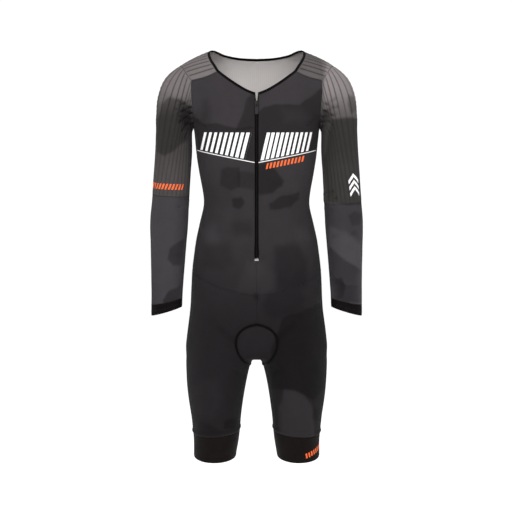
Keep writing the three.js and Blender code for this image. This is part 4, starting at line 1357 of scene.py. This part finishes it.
for node, body, look, soft in (
    ("zip_slider", "suit", slider_look, 0.35),
    ("zip_pull", "zip_pull", slider_look, 0.3),
    ("zip_stop", "suit", stop_look, 0.45),
):
    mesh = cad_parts[node].data.copy()
    mesh.materials.clear()
    mesh.materials.append(look)
    work = bmesh.new()
    work.from_mesh(mesh)
    bmesh.ops.remove_doubles(work, verts=work.verts, dist=0.00001)
    bmesh.ops.dissolve_limit(work, angle_limit=math.radians(3), verts=work.verts, edges=work.edges)
    joined = [edge for edge in work.edges if len(edge.link_faces) == 2]
    sharp = [edge for edge in joined if edge.calc_face_angle() > math.radians(35)]
    bmesh.ops.bevel(
        work, geom=sharp, offset=soft * MM, segments=3, profile=0.6, affect="EDGES", clamp_overlap=True
    )
    work.to_mesh(mesh)
    work.free()
    mesh.polygons.foreach_set("use_smooth", np.ones(len(mesh.polygons), bool))
    metal = add_object("fine_" + node, mesh)
    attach(metal, body)
    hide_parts(node)

# Sewing: zigzag threads over the seams and plain rows beside the zip, the neck, cuffs and hems
ZIGZAG = {"pitch": 1.9, "length": 3.6, "width": 0.42, "lean": 0.95, "up": 0.1}
ROW = {"pitch": 3.4, "length": 2.5, "width": 0.42, "up": 0.12}
ROW_FROM = {"neck": 2.7, "zip": 2.6, "cuff_hem": (9.0, 11.2), "band_hem": 3.5, "band_seam": 1.4}


def zigzag(run, sign=1, ring=False, sideways=0.0):
    line = Line(run * [sign, 1, 1], ZIGZAG["pitch"], ring)
    return (line, sideways, ZIGZAG["up"], ZIGZAG["length"], ZIGZAG["width"], ZIGZAG["lean"], 1)


def row(run, sign, sideways, ring=False, up=ROW["up"]):
    line = Line(run * [sign, 1, 1], ROW["pitch"], ring)
    return (line, sideways, up, ROW["length"], ROW["width"], 0.0, 1)


seams = []
rows = [row(neck_round, 1, ROW_FROM["neck"], up=BINDING["high"])]
for side, sign in SIDES.items():
    open_runs = (side_seam, yoke_front, yoke_back, waist_front, waist_back, inseam)
    seams += [zigzag(run, sign) for run in open_runs]
    seams += [zigzag(run, sign, True) for run in (armhole, sleeves[side]["sleeve_lower"][-1])]
    cuff = sleeves[side]["cuff"]
    rows.append(row(zip_edge, sign, -ROW_FROM["zip"] * sign))
    rows += [row(cuff[0], sign, up_from_hem * sign, True) for up_from_hem in ROW_FROM["cuff_hem"]]
    rows.append(zigzag(cuff[-1], sign, True))
    rows.append(row(grids["leg_band"][0], sign, ROW_FROM["band_hem"] * sign, True))
seams += [zigzag(run) for run in (centre_front, centre_back, below_zip)]
threads("stitches_seams", seams, dark_thread)
threads("stitches_rows", rows, grey_thread)
band_seam = grids["leg_band"][-1]
band_seams = [zigzag(band_seam, sign, True, ROW_FROM["band_seam"] * sign) for sign in SIDES.values()]
threads("stitches_bands", band_seams, band_thread)


# Camera, floor and light
CAMERA = {"x": -1.5, "y": -2962, "z": -150, "aim": -506, "lens": 85, "sensor": 36}
FLOOR = {"half": 14.0, "level": -1.9}
WORLD = {"seen": 1.05, "lighting": 0.27}
LIGHTS = table("x y z aim width height power", [
    [-800, -2300, 1100, -400, 1500, 1500, 70],
    [1100, -1900, 900, -450, 1400, 1600, 38],
    [-2000, 700, -200, -450, 900, 2200, 16],
    [2000, 700, -200, -450, 900, 2200, 16],
    [0, 300, 1900, -100, 1800, 1200, 24],
])


def aimed(thing, place, aim):
    thing.location = Vector(place) * MM
    thing.rotation_euler = (Vector(aim) * MM - thing.location).to_track_quat("-Z", "Y").to_euler()


def stage():
    camera = add_object("camera", bpy.data.cameras.new("camera"))
    camera.data.lens = CAMERA["lens"]
    camera.data.sensor_width = CAMERA["sensor"]
    aimed(camera, (CAMERA["x"], CAMERA["y"], CAMERA["z"]), (CAMERA["x"], 0, CAMERA["aim"]))
    bpy.context.scene.camera = camera

    floor_look = Look("pale_floor", Roughness=0.9, Specular_IOR_Level=0.1, Emission_Strength=0.75)
    floor_look.shader.inputs["Emission Color"].default_value = (1, 1, 1, 1)
    floor_look.paint(floor_look.times((0.93, 0.93, 0.93), floor_look.noise(3, 2) * 0.02 + 0.99))
    half = FLOOR["half"]
    corners = [[x * half, y * half, FLOOR["level"]] for x, y in ((-1, -1), (1, -1), (1, 1), (-1, 1))]
    mesh = bpy.data.meshes.new("floor")
    mesh.from_pydata(corners, [], [(0, 1, 2, 3)])
    mesh.materials.append(floor_look.material)
    add_object("floor", mesh)

    world = bpy.data.worlds.new("studio")
    world.use_nodes = True
    bpy.context.scene.world = world
    tree = world.node_tree
    mixed = tree.nodes.new("ShaderNodeMixShader")
    backgrounds = (tree.nodes["Background"], tree.nodes.new("ShaderNodeBackground"))
    for n, (background, strength) in enumerate(zip(backgrounds, (WORLD["lighting"], WORLD["seen"]))):
        background.inputs["Color"].default_value = (1, 1, 1, 1)
        background.inputs["Strength"].default_value = strength
        tree.links.new(background.outputs[0], mixed.inputs[n + 1])
    path = tree.nodes.new("ShaderNodeLightPath")
    tree.links.new(path.outputs["Is Camera Ray"], mixed.inputs[0])
    tree.links.new(mixed.outputs[0], tree.nodes["World Output"].inputs["Surface"])

    for n, (x, y, z, aim, width, height, power) in enumerate(zip(*LIGHTS.values())):
        data = bpy.data.lights.new(f"softbox_{n}", "AREA")
        data.shape = "RECTANGLE"
        data.size, data.size_y, data.energy = width * MM, height * MM, power
        aimed(add_object(f"softbox_{n}", data), (x, y, z), (0, 0, aim))
    bpy.context.scene.view_settings.view_transform = "Standard"


stage()
